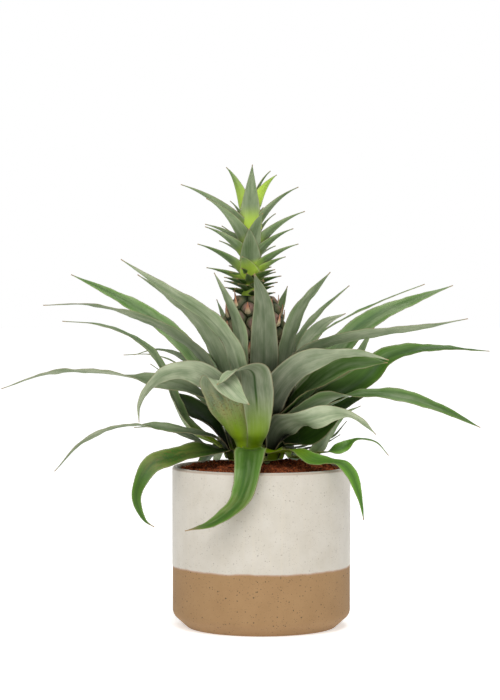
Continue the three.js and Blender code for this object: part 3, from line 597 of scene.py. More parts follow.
def crumbs(shape, rng):
    """Crumbs strewn on the bed: each is a twelve-cornered ball, squeezed and jittered."""
    g = (1 + 5**0.5) / 2
    ball = unit(np.array([[-1, g, 0], [1, g, 0], [-1, -g, 0], [1, -g, 0], [0, -1, g], [0, 1, g], [0, -1, -g],
                          [0, 1, -g], [g, 0, -1], [g, 0, 1], [-g, 0, -1], [-g, 0, 1]], float))
    sides = [[0, 11, 5], [0, 5, 1], [0, 1, 7], [0, 7, 10], [0, 10, 11], [1, 5, 9], [5, 11, 4], [11, 10, 2],
             [10, 7, 6], [7, 1, 8], [3, 9, 4], [3, 4, 2], [3, 2, 6], [3, 6, 8], [3, 8, 9], [4, 9, 5],
             [2, 4, 11], [6, 2, 10], [8, 6, 7], [9, 8, 1]]
    r = (SOIL_RADIUS - 2.2) * np.sqrt(rng.random(CRUMBS))
    a = rng.random(CRUMBS) * 2 * np.pi
    x, y = r * np.cos(a), r * np.sin(a)
    size = 0.55 + 1.5 * rng.random(CRUMBS) ** 3
    squeeze = rng.uniform(0.6, 1.25, (CRUMBS, 1, 3)) * size[:, None, None]
    jitter = 1 + rng.normal(0, 0.16, (CRUMBS, 12, 1))
    middle = np.stack([x, y, soil_height(x, y) + 0.25 * size], axis=1)
    tint = np.repeat(rng.uniform(0.55, 1.5, CRUMBS), 12)
    shape.add(middle[:, None, :] + ball[None] * squeeze * jitter, copies(sides, 12, CRUMBS),
              shade=np.stack([tint, tint * 0.97, tint * 0.92, np.ones_like(tint)], axis=1))


def fibres(shape, rng):
    """Loose fibres on the bed: each is a three-sided thread along a low arch that bends to one side."""
    t = np.linspace(0, 1, FIBRE_POINTS)
    r = (SOIL_RADIUS - 6) * np.sqrt(rng.random(FIBRES))
    a = rng.random(FIBRES) * 2 * np.pi
    way = rng.random(FIBRES)[:, None] * 2 * np.pi
    length = rng.uniform(4, 11, FIBRES)[:, None]
    bend = rng.uniform(-0.35, 0.35, FIBRES)[:, None] * length * np.sin(np.pi * t)
    reach = length * (t - 0.5)
    x = (r * np.cos(a))[:, None] + reach * np.cos(way) - bend * np.sin(way)
    y = (r * np.sin(a))[:, None] + reach * np.sin(way) + bend * np.cos(way)
    inside = np.minimum(1, (SOIL_RADIUS - 1) / np.maximum(np.hypot(x, y), 1e-6))
    x, y = x * inside, y * inside
    z = soil_height(x, y) + 0.5 + rng.uniform(0.2, 1.6, FIBRES)[:, None] * np.sin(np.pi * t)
    corner = 2 * np.pi * np.arange(3) / 3
    aside = FIBRE_RADIUS * np.cos(corner)
    thread = np.stack([x[..., None] - np.sin(way)[..., None] * aside,
                       y[..., None] + np.cos(way)[..., None] * aside,
                       z[..., None] + FIBRE_RADIUS * np.sin(corner)], axis=-1)
    corners = 3 * FIBRE_POINTS
    one = tube_faces(FIBRE_POINTS, 3)
    tint = np.repeat(rng.uniform(0.9, 2.0, FIBRES), corners)
    shape.add(thread, [[p + corners * k for p in face] for k in range(FIBRES) for face in one],
              shade=np.stack([tint, tint * 0.9, tint * 0.8, np.ones_like(tint)], axis=1))


def soil():
    """The bed with crumbs and fibres on it, from one seeded row of draws."""
    rng = np.random.default_rng(11)
    shape = Mesh()
    soil_bed(shape, rng)
    crumbs(shape, rng)
    fibres(shape, rng)
    shape.piece("potting_soil", soil_material(), "soil", "soil", crease=30)


def stump():
    """The stump and the flower stalk on it, a profile turned round the plant's axis."""
    profile = [[0, ROOT_BOTTOM], [ROOT_RADIUS - 3, ROOT_BOTTOM], [ROOT_RADIUS, ROOT_BOTTOM + 6],
               [ROOT_RADIUS, STUMP_BOTTOM - 1.5], [STUMP_BOTTOM_RADIUS, STUMP_BOTTOM],
               [STALK_RADIUS, STUMP_TOP], [STALK_RADIUS, STALK_TOP - 6], [STALK_RADIUS + 2, STALK_TOP],
               [0, STALK_TOP]]
    shape = Mesh()
    shape.add(*lathe(subdivided(profile, 1.5), 72, PLANT_X))
    shape.piece("stem", stalk_material(), "stem", "stem")


# Leaves


def spines(mesh, grid, rims, dress, first=0.1, last=0.9, size=1.0):
    """Small hooks along both margins, the one at hand 1 and the one at hand -1: each is a three-cornered
    thorn that leans to the tip."""
    s, forward, side, up, length = grid
    count = int(length * (last - first) / SPINE_GAP)
    if count < 1:
        return
    at = np.linspace(first, last, count)
    for hand, rim in rims.items():
        origin, f, outward, u = (np.stack([np.interp(at, s, v[:, k]) for k in range(3)], axis=1)
                                 for v in (rim, forward, side * hand, up))
        long = (SPINE_LENGTH * size * (1 - 0.45 * at))[:, None]
        corners = np.stack([origin - f * 0.55 - outward * 0.25, origin + f * 0.55 - outward * 0.25,
                            origin + u * 0.16 - outward * 0.3,
                            origin + outward * long * 0.62 + f * long * 0.9], axis=1)
        faces = np.array([[0, 1, 3], [1, 2, 3], [2, 0, 3], [0, 2, 1]])[:, ::-hand]
        worn = np.repeat(dress[np.interp(at, s, np.arange(len(s))).astype(int)], 4, axis=0)
        worn[:, 3] = 0.45
        mesh.add(corners, copies(faces, 4, count), dress=worn, rim=np.tile([1.0, 0, 0, 1], (4 * count, 1)),
                 blade=np.zeros((4 * count, 2)))


def strap_paint(look, s, across, is_upper, narrowing):
    """The values that the leaf material reads: bloom by the face, painted light that grows from a foot in
    painted shade, with a painted highlight near the tip of the upper face, the yellow base with its painted
    glow of light shining through, the dry tip, and then the place across, the blotches and the dark crease
    along the middle."""
    s, narrowing = s[:, None], narrowing[:, None]
    flat = 0 * s * across
    light = look["light"] * mix(look["foot_light"], 1, smooth(s / look["shaded"]))
    light = light * mix(1, look["tip_light"], is_upper * smooth((s - 0.5) / 0.15))
    yellow = 0.95 * (1 - smooth((s - 0.3 * look["yellow"]) / look["yellow"])) * (1 - 0.35 * across**2)
    dry = smooth((s - look["dry"]) / (1.001 - look["dry"])) ** 1.5
    dress = np.stack([mix(look["under"], look["upper"], is_upper) + flat, light, yellow, dry + flat], axis=-1)
    blotch = look["blotch"] * np.exp(-(((s - look["blotch_at"]) / 0.16) ** 2))
    crease = look["slit"] * np.exp(-((across / 0.045) ** 2)) * smooth((s - 0.3) / 0.2) * narrowing
    rim = np.stack([np.abs(across) + flat, blotch + flat, crease, 1 + flat], axis=-1)
    return dress, rim


def strap_leaf(foot, form, look, number):
    """A strap leaf as a function of s, along it, and v, across it from one margin to the other.

    It clasps the stump at its foot, where its section is an arc round the plant's axis, and opens to a
    shallow channel further out. The middle line is a smooth curve through the way points. The half width is
    mixed from the foot's to the blade's and narrows by 1 - s^taper; rolls turn it about the middle line. A
    wave lifts the margins by turns, and a small seeded ripple bends them on every leaf. The blade thins from
    its middle to its margins.
    """
    rng = np.random.default_rng(100 + number)
    out = heading(foot["turn"])
    base = np.array([PLANT_X, 0, foot["z"]]) + out * foot["radius"]
    rise = base + out * (0.6 + 0.12 * foot["radius"]) + [0, 0, LEAF_RISE]
    place, forward, length = smooth_path(np.vstack([base, rise, seen(form["way"])]), LEAF_ROWS)
    s = np.linspace(0, 1, LEAF_ROWS + 1)
    clasp = np.array([-out[1], out[0], 0])
    level = unit(np.array([-place[-1, 1], place[-1, 0] - PLANT_X, 0]))
    opened = smooth(s / form["opens"])
    side = squared(mix(clasp, level, opened[:, None]), forward)
    turn = np.radians(along([0, *form["rolls"]], s))[:, None]
    side = side * np.cos(turn) + np.cross(forward, side) * np.sin(turn)
    up = np.cross(forward, side)
    narrowing = 1 - s ** form["taper"]
    foot_half = min(FOOT_HALF_WIDTH, foot["radius"] * FOOT_HALF_ANGLE)
    half = np.maximum(TIP_HALF_WIDTH, mix(foot_half, form["width"] / 2, opened) * narrowing)
    hub = 1 / mix(1 / foot["radius"], form["hollow"], opened)
    ripple = form["wave"] * smooth(s / 0.3) * narrowing * np.sin(6 * np.pi * s)
    v = np.linspace(1, -1, LEAF_COLUMNS)
    small = sum(a * np.sin(2 * np.pi * (w * s[:, None] * length / 100) + p + (v > 0) * q)
                for a, w, p, q in zip((0.42, 0.26, 0.14), rng.uniform([2, 4, 8], [3.5, 6.5, 12]),
                                      rng.uniform(0, 6.28, 3), rng.uniform(1, 5, 3)))
    fray = small * (np.abs(v) ** 1.6) * (smooth(s / 0.35) * np.minimum(1, half / 5))[:, None]
    trough = -0.5 * np.exp(-((v / 0.16) ** 2)) * (form["crease"] * smooth(s / 0.2) * narrowing)[:, None]

    def face(v, raise_by, shift):
        angle = (half / hub)[:, None] * v
        lift = raise_by * np.sqrt(1 - 0.86 * v**2) * (1 + 0.5 * (1 - smooth(s / 0.25)))[:, None]
        sideways = np.sin(angle) * (hub[:, None] - lift)
        upward = hub[:, None] - np.cos(angle) * (hub[:, None] - lift) + ripple[:, None] * v + shift
        return place[:, None] + side[:, None] * sideways[..., None] + up[:, None] * upward[..., None]

    upper = face(v, LEAF_LIFT, fray + trough)
    under = face(-v, -LEAF_LIFT, (fray + trough)[:, ::-1])
    across = np.concatenate([v, -v])
    is_upper = np.repeat([1.0, 0.0], LEAF_COLUMNS)
    dress, rim = strap_paint(look, s, across, is_upper, narrowing)
    blade = np.stack([across * half[:, None] / 10 + 7.3 * number, s[:, None] * length / 10 + 0 * across],
                     axis=-1)
    shape = Mesh()
    shape.add(np.concatenate([upper, under], axis=1), blade_faces(LEAF_ROWS + 1, LEAF_COLUMNS),
              dress=dress.reshape(-1, 4), rim=rim.reshape(-1, 4), blade=blade.reshape(-1, 2))
    rims = {1: (upper[:, 0] + under[:, -1]) / 2, -1: (upper[:, -1] + under[:, 0]) / 2}
    spines(shape, (s, forward, side, up, length), rims, dress[:, 0])
    return shape


def leaf(name, turn, width, way, taper=2.2, hollow=0.035, rolls=(0,), wave=0, opens=0.28, crease=0.6):
    """A leaf's form: how fast it narrows, how hollow it is across, its rolls in degrees from foot to tip, the
    height of its wave, how far out it opens and how deep its crease is."""
    return dict(name=name, turn=math.radians(turn), width=width, way=way, taper=taper, hollow=hollow,
                rolls=rolls, wave=wave, opens=opens, crease=crease)


def back_leaf(name, foot, turn, width, reach, climb, sag):
    """A leaf that arches away over the back: the height climbs with the reach and sags with its square."""
    u = np.array([0.25, 0.5, 0.75, 1])
    x = PLANT_X + reach * u * math.cos(math.radians(turn))
    y = reach * u * math.sin(math.radians(turn))
    return leaf(name, foot, width, np.stack([x, y, BACK_LEAF_START + climb * u - sag * u * u], axis=1))


# Leaves from the innermost to the outermost: name, turn of the foot in degrees from +X towards the back,
# width, and the way points to the tip as (x, depth, z) seen from the front
LEAVES = [
    leaf("front_upright", -85, 24, [(-1, -15, 180), (2, -25, 205), (2, -33, 235), (1, -36, 255),
         (-5.5, -38, 277)], taper=4.2, hollow=0.045, opens=0.45),
    leaf("fruit_back_left", 125, 15, [(-12, 17, 180), (-23, 29, 213), (-28, 35, 238), (-35, 42, 256.5)],
         rolls=[0, -20, -30]),
    leaf("fruit_back_right", 60, 17, [(2, 18, 180), (7, 32, 213), (11.5, 38, 240), (20.5, 42, 267)],
         taper=4, rolls=[0]),
    leaf("left_inner", -150, 18, [(-15, -11, 178), (-17, -24, 208), (-17, -28, 230), (-24, -31, 252),
         (-37, -35, 277.5)], taper=3),
    leaf("right_inner", -15, 20, [(12.5, -5, 180), (19, -11, 212), (24, -16, 234), (32, -22, 252),
         (54, -30, 278)], taper=3, rolls=[-10, -25, -30]),
    back_leaf("back_high", 106, 101, 20, 150, 187, 95),
    leaf("left_broad", -115, 25, [(-13, -19.5, 177), (-19, -30, 205), (-26, -34, 224), (-42, -38, 243),
         (-66, -46, 259.5), (-110, -60, 288)], taper=1.8, rolls=[10, 30, 25]),
    leaf("right_edge", 18, 15, [(19, 6, 186), (27, 9, 222), (36, 10, 236), (50, 11, 251),
         (69, 12, 267.5)], taper=2.6, rolls=[5, 20, 25]),
    leaf("right_blunt", 48, 25, [(11, 18, 177), (24, 35, 205), (38, 45, 226), (51, 48, 239),
         (66, 48, 245.5)], taper=2.6, rolls=[10, 35, 40], opens=0.6),
    back_leaf("back_right_high", 86, 82, 19, 145, 160, 85),
    leaf("left_second", -170, 23, [(-25, -4, 180), (-31, -9, 204), (-38, -15, 221), (-50, -20, 240),
         (-73, -27, 260), (-97, -32, 276)], taper=2, rolls=[10, 30, 35, 30]),
    leaf("right_blade", 0, 13, [(25, 0, 186), (34, -1, 215), (48, -4, 231), (70, -7, 244),
         (98, -9, 257), (128, -11, 268.5)], rolls=[0, 10, 15]),
    back_leaf("back_left_high", 120, 115, 19, 140, 156, 80),
    leaf("right_grey", -42, 18, [(14, -17, 182), (25, -24, 207), (44, -28, 219.5), (70, -31, 227),
         (100, -33, 231.5), (130, -35, 235.5), (162, -37, 241.5)], rolls=[-15, -35, -40, -25],
         opens=0.36),
    leaf("left_high", 178, 18, [(-32, 1, 187), (-48, 0, 213), (-70, -3, 230.5), (-100, -6, 244),
         (-136, -9, 252.5), (-171, -12, 252)], rolls=[10, 30, 30, 15, 12]),
    leaf("left_green", 169, 23, [(-31, 11, 179), (-46, 20, 202), (-66, 27, 226), (-88, 34, 244.5),
         (-118, 44, 261.5), (-149, 54, 276)], rolls=[-10, -35, -45, -40]),
    leaf("right_high", 24, 34, [(32, 9, 179), (53, 15, 204), (64, 20, 219.5), (77, 24, 233.5),
         (98, 29, 247), (118, 36, 255.5), (150, 44, 267.5)], taper=1.6, hollow=0.06,
         rolls=[25, 42, 48, 40], opens=0.4),
    leaf("left_bow", -135, 27, [(-25, -20, 174), (-38, -31, 191), (-55, -38, 200), (-75, -44, 198),
         (-89.5, -48, 186), (-96, -50, 173), (-96, -50, 160)], taper=1.9, rolls=[30, 60, 65, 60]),
    back_leaf("back_left_long", 120, 116, 18, 122, 122, 70),
    leaf("right_wavy", -66, 27.5, [(5.5, -27.5, 174), (17, -34.5, 193), (31, -40, 205),
         (50, -45, 211.5), (70, -48, 214.5), (86, -50, 213), (100, -52, 209)], taper=1.9,
         rolls=[-50, -65, -50, -30], wave=3.4),
    back_leaf("back_right_long", 70, 68, 18, 130, 125, 75),
    leaf("right_dark", -32, 35, [(23, -15, 171), (37, -18.5, 185.8), (52, -21, 197), (68, -23, 205.1),
         (84, -26, 207.3), (99, -30, 207)], taper=2.6, rolls=[17, 46, 48], opens=0.34),
    leaf("back_left_pale", 154, 12, [(-31, 14, 172), (-48, 25, 200), (-65, 35, 213), (-82, 45, 217.5),
         (-100, 53, 213)], rolls=[0, -20, -20]),
    back_leaf("back_middle", 98, 99, 20, 165, 135, 105),
    leaf("right_green", 8, 36, [(29, 3, 160), (53, 5, 176), (73, 8, 188), (86, 9, 199), (98, 10, 210),
         (118, 11, 216), (145, 12, 218), (179, 14, 216)], taper=1.5, hollow=0.085,
         rolls=[15, 40, 65, 35, 20, 15], opens=0.2),
    leaf("left_long", -152, 24, [(-35, -12, 172), (-58, -17, 186), (-90, -20, 193), (-125, -21, 199),
         (-165, -22, 199), (-204, -23, 186.5)], rolls=[-10, -33, 12, 20, 15], opens=0.22),
    leaf("back_left_faint", 160, 10, [(-31, 14.5, 167), (-52, 22, 195), (-70, 30, 208.5),
         (-88, 37, 213.5), (-108, 44, 213)]),
    leaf("right_arching", -32, 19, [(17, -17, 160), (34, -20, 171), (50, -22, 178), (66, -24, 181),
         (90, -27, 182.5), (116, -30, 179.5), (144, -33, 169.5), (172, -36, 156)], taper=3,
         rolls=[-10, -35, 20, 40, 45, 45]),
    leaf("back_right_middle", 56, 17, [(20, 25, 164), (42, 42, 182), (62.5, 49, 199), (76.5, 52, 214),
         (82, 53, 224), (89.5, 54, 236.3)], taper=2.4, rolls=[20, 60, 70]),
    leaf("back_left_spike", 128, 9, [(-32, 32, 164), (-54, 47, 184), (-71, 55, 195), (-87, 61, 206)]),
    leaf("left_shaded", 171, 31, [(-30, 6, 146), (-41, 15, 159), (-54, 26, 172), (-69, 34, 184)],
         taper=3.4, rolls=[0, -25, -28], opens=0.6),
    leaf("left_whip", -163, 18, [(-34, -14, 147), (-54, -20, 152), (-80, -24, 156.5), (-110, -27, 157),
         (-140, -29, 145), (-162.5, -31, 121.5)], taper=1.6, rolls=[-10, -25, 20, 40, 35]),
    leaf("left_channel", 180, 31, [(-36, 1, 143), (-51, 2, 150), (-60, 2, 159), (-66, 3, 171),
         (-71, 4, 184), (-77, 5, 200), (-87, 6, 216), (-105, 8, 229), (-128, 10, 237),
         (-156, 12, 239.5)], taper=0.8, hollow=0.08, rolls=[-10, -20, -20, -5], opens=0.2),
    leaf("right_shaded", 44, 25, [(22, 20, 150), (39, 29, 159), (54, 35, 168), (68, 39, 176),
         (84, 42, 182.5)], rolls=[10, 40, 45]),
    leaf("front_left_folded", -122, 34, [(-18.5, -19.5, 149), (-23, -28, 163), (-29.5, -35.5, 178),
         (-34.5, -45.5, 188), (-32.5, -56.5, 193), (-25.5, -62, 189), (-18, -63, 181),
         (-9.5, -62, 174)], taper=3.6, opens=0.42),
    back_leaf("back_low", 105, 103, 18, 150, 75, 105),
    leaf("right_ruffled", -46, 23, [(13, -22, 152), (24, -36, 160), (38, -46, 162), (54, -52, 166.5),
         (68, -56, 166.5), (80, -58, 160), (90, -60, 150.5)], rolls=[-35, -60, -60, -45], wave=4.2),
    leaf("right_base", -26, 40, [(18, -9, 141.5), (30, -11, 144.5), (44, -13, 151.5), (61, -14, 163)],
         rolls=[15, 45, 45], opens=0.4),
    leaf("back_left_base", 152, 13, [(-31, 14, 139), (-46, 23, 143), (-60, 32, 151), (-80, 43, 157),
         (-100, 51, 156)], rolls=[0, -30, -20]),
    leaf("back_right_spike", 50, 9, [(24, 22, 140), (42, 35, 144), (56, 44, 149), (67, 50, 161)]),
    leaf("front_folded", -88, 31, [(-3, -33.5, 151), (-3, -40.5, 168), (-4.5, -46, 187),
         (-6, -52, 198.5), (-10, -57, 202), (-18, -63, 201), (-27, -67, 197), (-35, -68, 189.5)],
         taper=4.6, rolls=[0, 0, 0, 0, 22, 25], opens=0.66),
    leaf("right_rising", 12, 17, [(23, 5, 133), (37, 8, 134), (47, 10, 142), (54, 13, 153),
         (64, 16, 166), (78, 20, 173)], rolls=[-10, -60, -60, -40]),
    leaf("left_low", -145, 26, [(-32, -19, 137), (-50, -27, 137.2), (-70, -34, 132.2),
         (-85.2, -39, 127.4), (-93.5, -43, 116.2), (-98, -45, 100.5), (-91.5, -47, 83),
         (-84, -48, 77.5)], taper=1.5, rolls=[-20, -45, -45, -25], wave=1.6),
    leaf("back_right_tip", 44, 9, [(20, 25, 136), (37, 33, 140), (49, 38, 143), (62, 42, 150.5)]),
    back_leaf("back_drooping", 98, 98, 17, 140, 42, 105),
    leaf("right_low", -48, 17, [(10, -28, 136), (28, -38, 137.5), (41, -45, 130.5), (54, -50, 129),
         (63, -54, 127.5), (70.5, -57, 120), (75.5, -59, 107), (78.5, -60, 96), (80.5, -61, 83)],
         taper=2.4, rolls=[5, 20, 25, 20], wave=1),
    back_leaf("back_left_drooping", 128, 121.5, 16, 120, 30, 88),
    back_leaf("back_right_drooping", 74, 67, 17, 134, 32, 88),
    leaf("right_small", -18, 15, [(22, -13, 133), (40, -14, 135.5), (55, -15, 137.5), (66, -16, 141.5),
         (76, -17, 147), (90, -18, 144.5), (100, -19, 134)], taper=1.8,
         rolls=[0, 0, -10, 70, 10, 10, 0]),
    leaf("front_drooping", -95, 27, [(-7, -30, 138), (-8, -45, 137), (-8.5, -60, 131),
         (-9.5, -71, 122.5), (-12, -77, 110), (-17, -78.4, 98), (-28, -79.4, 87.5), (-41, -79.4, 79.7),
         (-60, -79.4, 74.5)], taper=2.6),
]


# How the leaves are dressed: bloom on the upper and the under face, painted light, how dim the painted shade
# makes the foot and how far that shade runs, how far the yellow base with its painted glow runs, where the dry
# tip starts, and the rest where a leaf needs it, such as tip_light, a painted highlight near the upper face's
# tip
PLAIN = dict(upper=0.4, under=0.75, light=0.85, foot_light=0.15, shaded=0.5, yellow=0.06, dry=0.965,
             tip_light=1.0, slit=0.25, blotch=0.0, blotch_at=0.5)
LOOKS = {
    "front_upright": dict(upper=0.8, under=0.85, light=0.56, slit=0.4, shaded=0.7),
    "left_inner": dict(upper=0.75, light=1.0, foot_light=0.2, shaded=0.7),
    "right_inner": dict(upper=0.75, light=0.86, foot_light=0.2, shaded=0.7),
    "left_broad": dict(upper=0.85, light=1.0, foot_light=0.6, shaded=0.4),
    "left_second": dict(upper=0.8, light=0.9, slit=0.1),
    "left_green": dict(upper=0.2, under=0.0, light=1.15),
    "left_high": dict(upper=0.5),
    "left_long": dict(upper=0.7, light=0.88, under=0.85),
    "left_whip": dict(upper=0.55, under=0.8, light=0.9),
    "left_channel": dict(upper=0.5, light=1.0, yellow=0.22, foot_light=0.8),
    "left_bow": dict(under=1.0, light=1.1, foot_light=0.5, shaded=0.35),
    "left_low": dict(upper=-0.3, under=0.2, light=0.72, dry=0.93, blotch=0.7, blotch_at=0.45),
    # left_shaded lies deep in the rosette and is painted nearly black as the shade there
    "left_shaded": dict(upper=-0.4, light=0.14, foot_light=0.2, under=-0.3),
    "back_left_pale": dict(upper=0.6, light=1.0, foot_light=0.6),
    "back_left_faint": dict(upper=0.75, light=1.1, foot_light=0.7),
    "back_left_base": dict(upper=0.7, foot_light=0.4),
    "right_grey": dict(upper=0.9, light=0.86, foot_light=0.4),
    "right_high": dict(upper=0.25, under=0.3, light=1.02),
    "right_blade": dict(upper=0.3, light=1.15),
    "right_edge": dict(upper=0.6, light=0.95),
    "right_blunt": dict(upper=0.8, light=0.95),
    "right_wavy": dict(upper=0.3, under=1.0, light=1.15, shaded=0.95, foot_light=0.03),
    "right_dark": dict(upper=0.15, light=0.62, shaded=0.75, foot_light=0.1, under=-0.1),
    "right_green": dict(upper=-0.1, shaded=0.6, foot_light=0.06, under=-0.2),
    "right_arching": dict(upper=0.12, under=0.5, light=0.88, shaded=0.35),
    "right_ruffled": dict(upper=0.3, under=0.95, light=1.2, shaded=0.7, foot_light=0.02),
    # right_base and right_shaded lie deep in the rosette and are painted nearly black as the shade there
    "right_base": dict(upper=-0.4, light=0.25, foot_light=0.2, under=-0.3),
    "right_shaded": dict(upper=-0.4, light=0.3, under=-0.3),
    "right_rising": dict(upper=0.3, under=0.6, light=1.1, yellow=0.4, foot_light=0.8),
    "right_small": dict(upper=-0.2, under=0.0, light=1.35, yellow=0.4, foot_light=0.7, dry=0.94),
    "right_low": dict(upper=-0.3, under=0.1, light=1.28, yellow=0.35, foot_light=0.35, dry=0.95),
    # the drooping leaves at the back are painted darker as the shade behind the plant
    "back_left_drooping": dict(upper=-0.2, under=-0.1, light=0.6),
    "back_drooping": dict(upper=-0.2, under=-0.1, light=0.6),
    "back_right_drooping": dict(upper=-0.2, under=-0.1, light=0.6),
    "back_right_middle": dict(upper=0.5, under=0.5, light=1.25, foot_light=0.5),
    "front_left_folded": dict(upper=0.9, under=0.85, light=0.78, yellow=0.38, blotch=1.0, blotch_at=0.4,
                              dry=0.97, slit=0.5, foot_light=1.15, tip_light=1.5),
    "front_folded": dict(upper=0.85, under=0.9, light=0.66, yellow=0.42, slit=1.2, foot_light=1.2,
                         tip_light=1.9),
    "front_drooping": dict(upper=0.05, under=0.5, light=0.93, yellow=0.1, dry=0.87, foot_light=0.85,
                           shaded=0.2, slit=0.05, blotch=0.35, blotch_at=0.72),
}


def seat(seated, turn):
    """A leaf's foot is a step further out than the one before and a whole layer outside those that it
    overlaps."""
    radius = STALK_RADIUS + LEAF_SEAT + LEAF_STEP * len(seated)
    for other in seated:
        apart = abs(math.atan2(math.sin(turn - other["turn"]), math.cos(turn - other["turn"])))
        if apart < 2 * min(FOOT_HALF_ANGLE, FOOT_HALF_WIDTH / other["radius"]):
            radius = max(radius, other["radius"] + LEAF_LAYER)
    slope = (STUMP_TOP - STUMP_BOTTOM) / (STUMP_BOTTOM_RADIUS - STALK_RADIUS)
    z = STUMP_TOP - (radius - LEAF_SEAT - STALK_RADIUS) * slope
    return {"turn": turn, "radius": radius, "z": max(z, STUMP_BOTTOM + 1)}


def rosette():
    """All the leaves, seated one after another from the innermost outwards."""
    skin = leaf_material("bromeliad_leaf", "#648e30", "#31501e", "#768266", "#a2a98d", "#8fb000")
    seated = []
    for number, form in enumerate(LEAVES):
        seated.append(seat(seated, form["turn"]))
        look = {**PLAIN, **LOOKS.get(form["name"], {})}
        blade = strap_leaf(seated[-1], form, look, number)
        blade.piece("blade_" + form["name"], skin, "leaf", "leaf_" + form["name"])


# Keeled blades, which the bracts and the crown are made of


def blade_strip(mesh, stops, out, width, dress, number, columns=9, thick=0.4, keel=0.22, power=1.7, roll=0.0,
                slim=0.0, clasp=0.0, foot=1.0):
    """A keeled blade on a curve through the stops, with a row of paint for each of its rows.

    The half width runs out by (1 - s^power)(1 - slim s) and starts at the foot's share of it. The section is
    a trough, as deep at its middle as the keel's share of the half width, and deeper where it clasps.
    """
    rows = len(dress) - 1
    place, forward, length = smooth_path(stops, rows)
    s = np.linspace(0, 1, rows + 1)
    side = squared(np.array([-out[1], out[0], 0]), forward)
    side = side * math.cos(roll) + np.cross(forward, side) * math.sin(roll)
    up = np.cross(forward, side)
    half = width / 2 * (1 - s**power) * (1 - slim * s) * mix(foot, 1, smooth(s / 0.3))
    half = np.maximum(BLADE_TIP_HALF_WIDTH, half)[:, None]
    keel = mix(keel + clasp, keel, smooth(s / 0.45))[:, None]
    v = np.linspace(1, -1, columns)

    def face(v, lift):
        dip = -keel * half * (1 - v**2) + lift * np.sqrt(1 - 0.8 * v**2)
        return place[:, None] + side[:, None] * (half * v)[..., None] + up[:, None] * dip[..., None]

    points = np.concatenate([face(v, thick), face(-v, -thick)], axis=1)
    across = np.concatenate([v, -v])
    s_all = s[:, None] + 0 * across
    crease = 0.2 * np.exp(-((across / 0.06) ** 2)) * (1 - s_all)
    rim = np.stack([np.abs(across) + 0 * s_all, 0 * s_all, crease, 1 + 0 * s_all], axis=-1)
    blade = np.stack([across * half / 10 + 3.1 * number, s_all * length / 10], axis=-1)
    mesh.add(points, blade_faces(rows + 1, columns), dress=np.repeat(dress, 2 * columns, axis=0),
             rim=rim.reshape(-1, 4), blade=blade.reshape(-1, 2))
    return (s, forward, side, up, length), {1: points[:, 0], -1: points[:, columns - 1]}


# Fruit


def barrel(t, turn):
    """The smooth body under the fruitlets, from its lower pole at t = 0 to its upper pole at t = 1."""
    middle = (FRUIT_BOTTOM + FRUIT_TOP) / 2
    half = (FRUIT_TOP - FRUIT_BOTTOM) / 2 + FRUIT_OVERLAP
    r = FRUIT_RADIUS * np.sin(np.pi * t) ** 0.72
    return np.stack([PLANT_X + r * np.cos(turn), r * np.sin(turn), middle - half * np.cos(np.pi * t)], axis=-1)


def fruit():
    """The barrel raised into low domes at the fruitlets' places, which follow the golden turn. A dome falls
    with the square of the distance from its middle, a small scar sits on it, and a groove runs where two are
    equally near."""
    rng = np.random.default_rng(5)
    k = np.arange(FRUITLETS)
    eye_t = np.arccos(1 - 2 * (k + 0.5) / FRUITLETS) / np.pi
    eyes = barrel(eye_t, k * GOLDEN_TURN)
    t, turn = np.meshgrid(np.linspace(0.002, 0.998, FRUIT_ROWS),
                          np.linspace(0, 2 * np.pi, FRUIT_SIDES, endpoint=False), indexing="ij")
    skin = barrel(t, turn).reshape(-1, 3)
    apart = np.linalg.norm(skin[:, None] - eyes[None], axis=2)
    order = np.sort(apart, axis=1)
    nearest, gap = order[:, 0], order[:, 1] - order[:, 0]
    owner = rng.random(FRUITLETS)[np.argmin(apart, axis=1)]
    dome = FRUITLET_RAISE * np.clip(1 - (nearest / FRUITLET_REACH) ** 2, 0, None)
    scar = -0.9 * np.exp(-((nearest / 1.1) ** 2)) + 0.45 * np.exp(-(((nearest - 1.9) / 0.8) ** 2))
    groove = -0.8 * np.exp(-((gap / 0.9) ** 2))
    middle = np.array([PLANT_X, 0, (FRUIT_BOTTOM + FRUIT_TOP) / 2])
    skin = skin + unit(skin - middle) * (dome + scar + groove)[:, None]
    skin[:, 2] = np.clip(skin[:, 2], FRUIT_BOTTOM, FRUIT_TOP)
    # grooves and the flat top under the crown count as creases: painted near black as shade, mirroring nothing
    crease = np.maximum(np.exp(-((gap / 0.8) ** 2)), skin[:, 2] > FRUIT_TOP - 0.1)
    eye = np.stack([np.clip(nearest / FRUITLET_REACH, 0, 1), owner, crease, np.ones_like(gap)], axis=1)
    shape = Mesh()
    shape.add(skin, tube_faces(FRUIT_ROWS, FRUIT_SIDES), eye=eye)
    shape.piece("fruit_rind", fruit_material(), "fruit_skin", "fruit")
    bracts(eyes, eye_t)


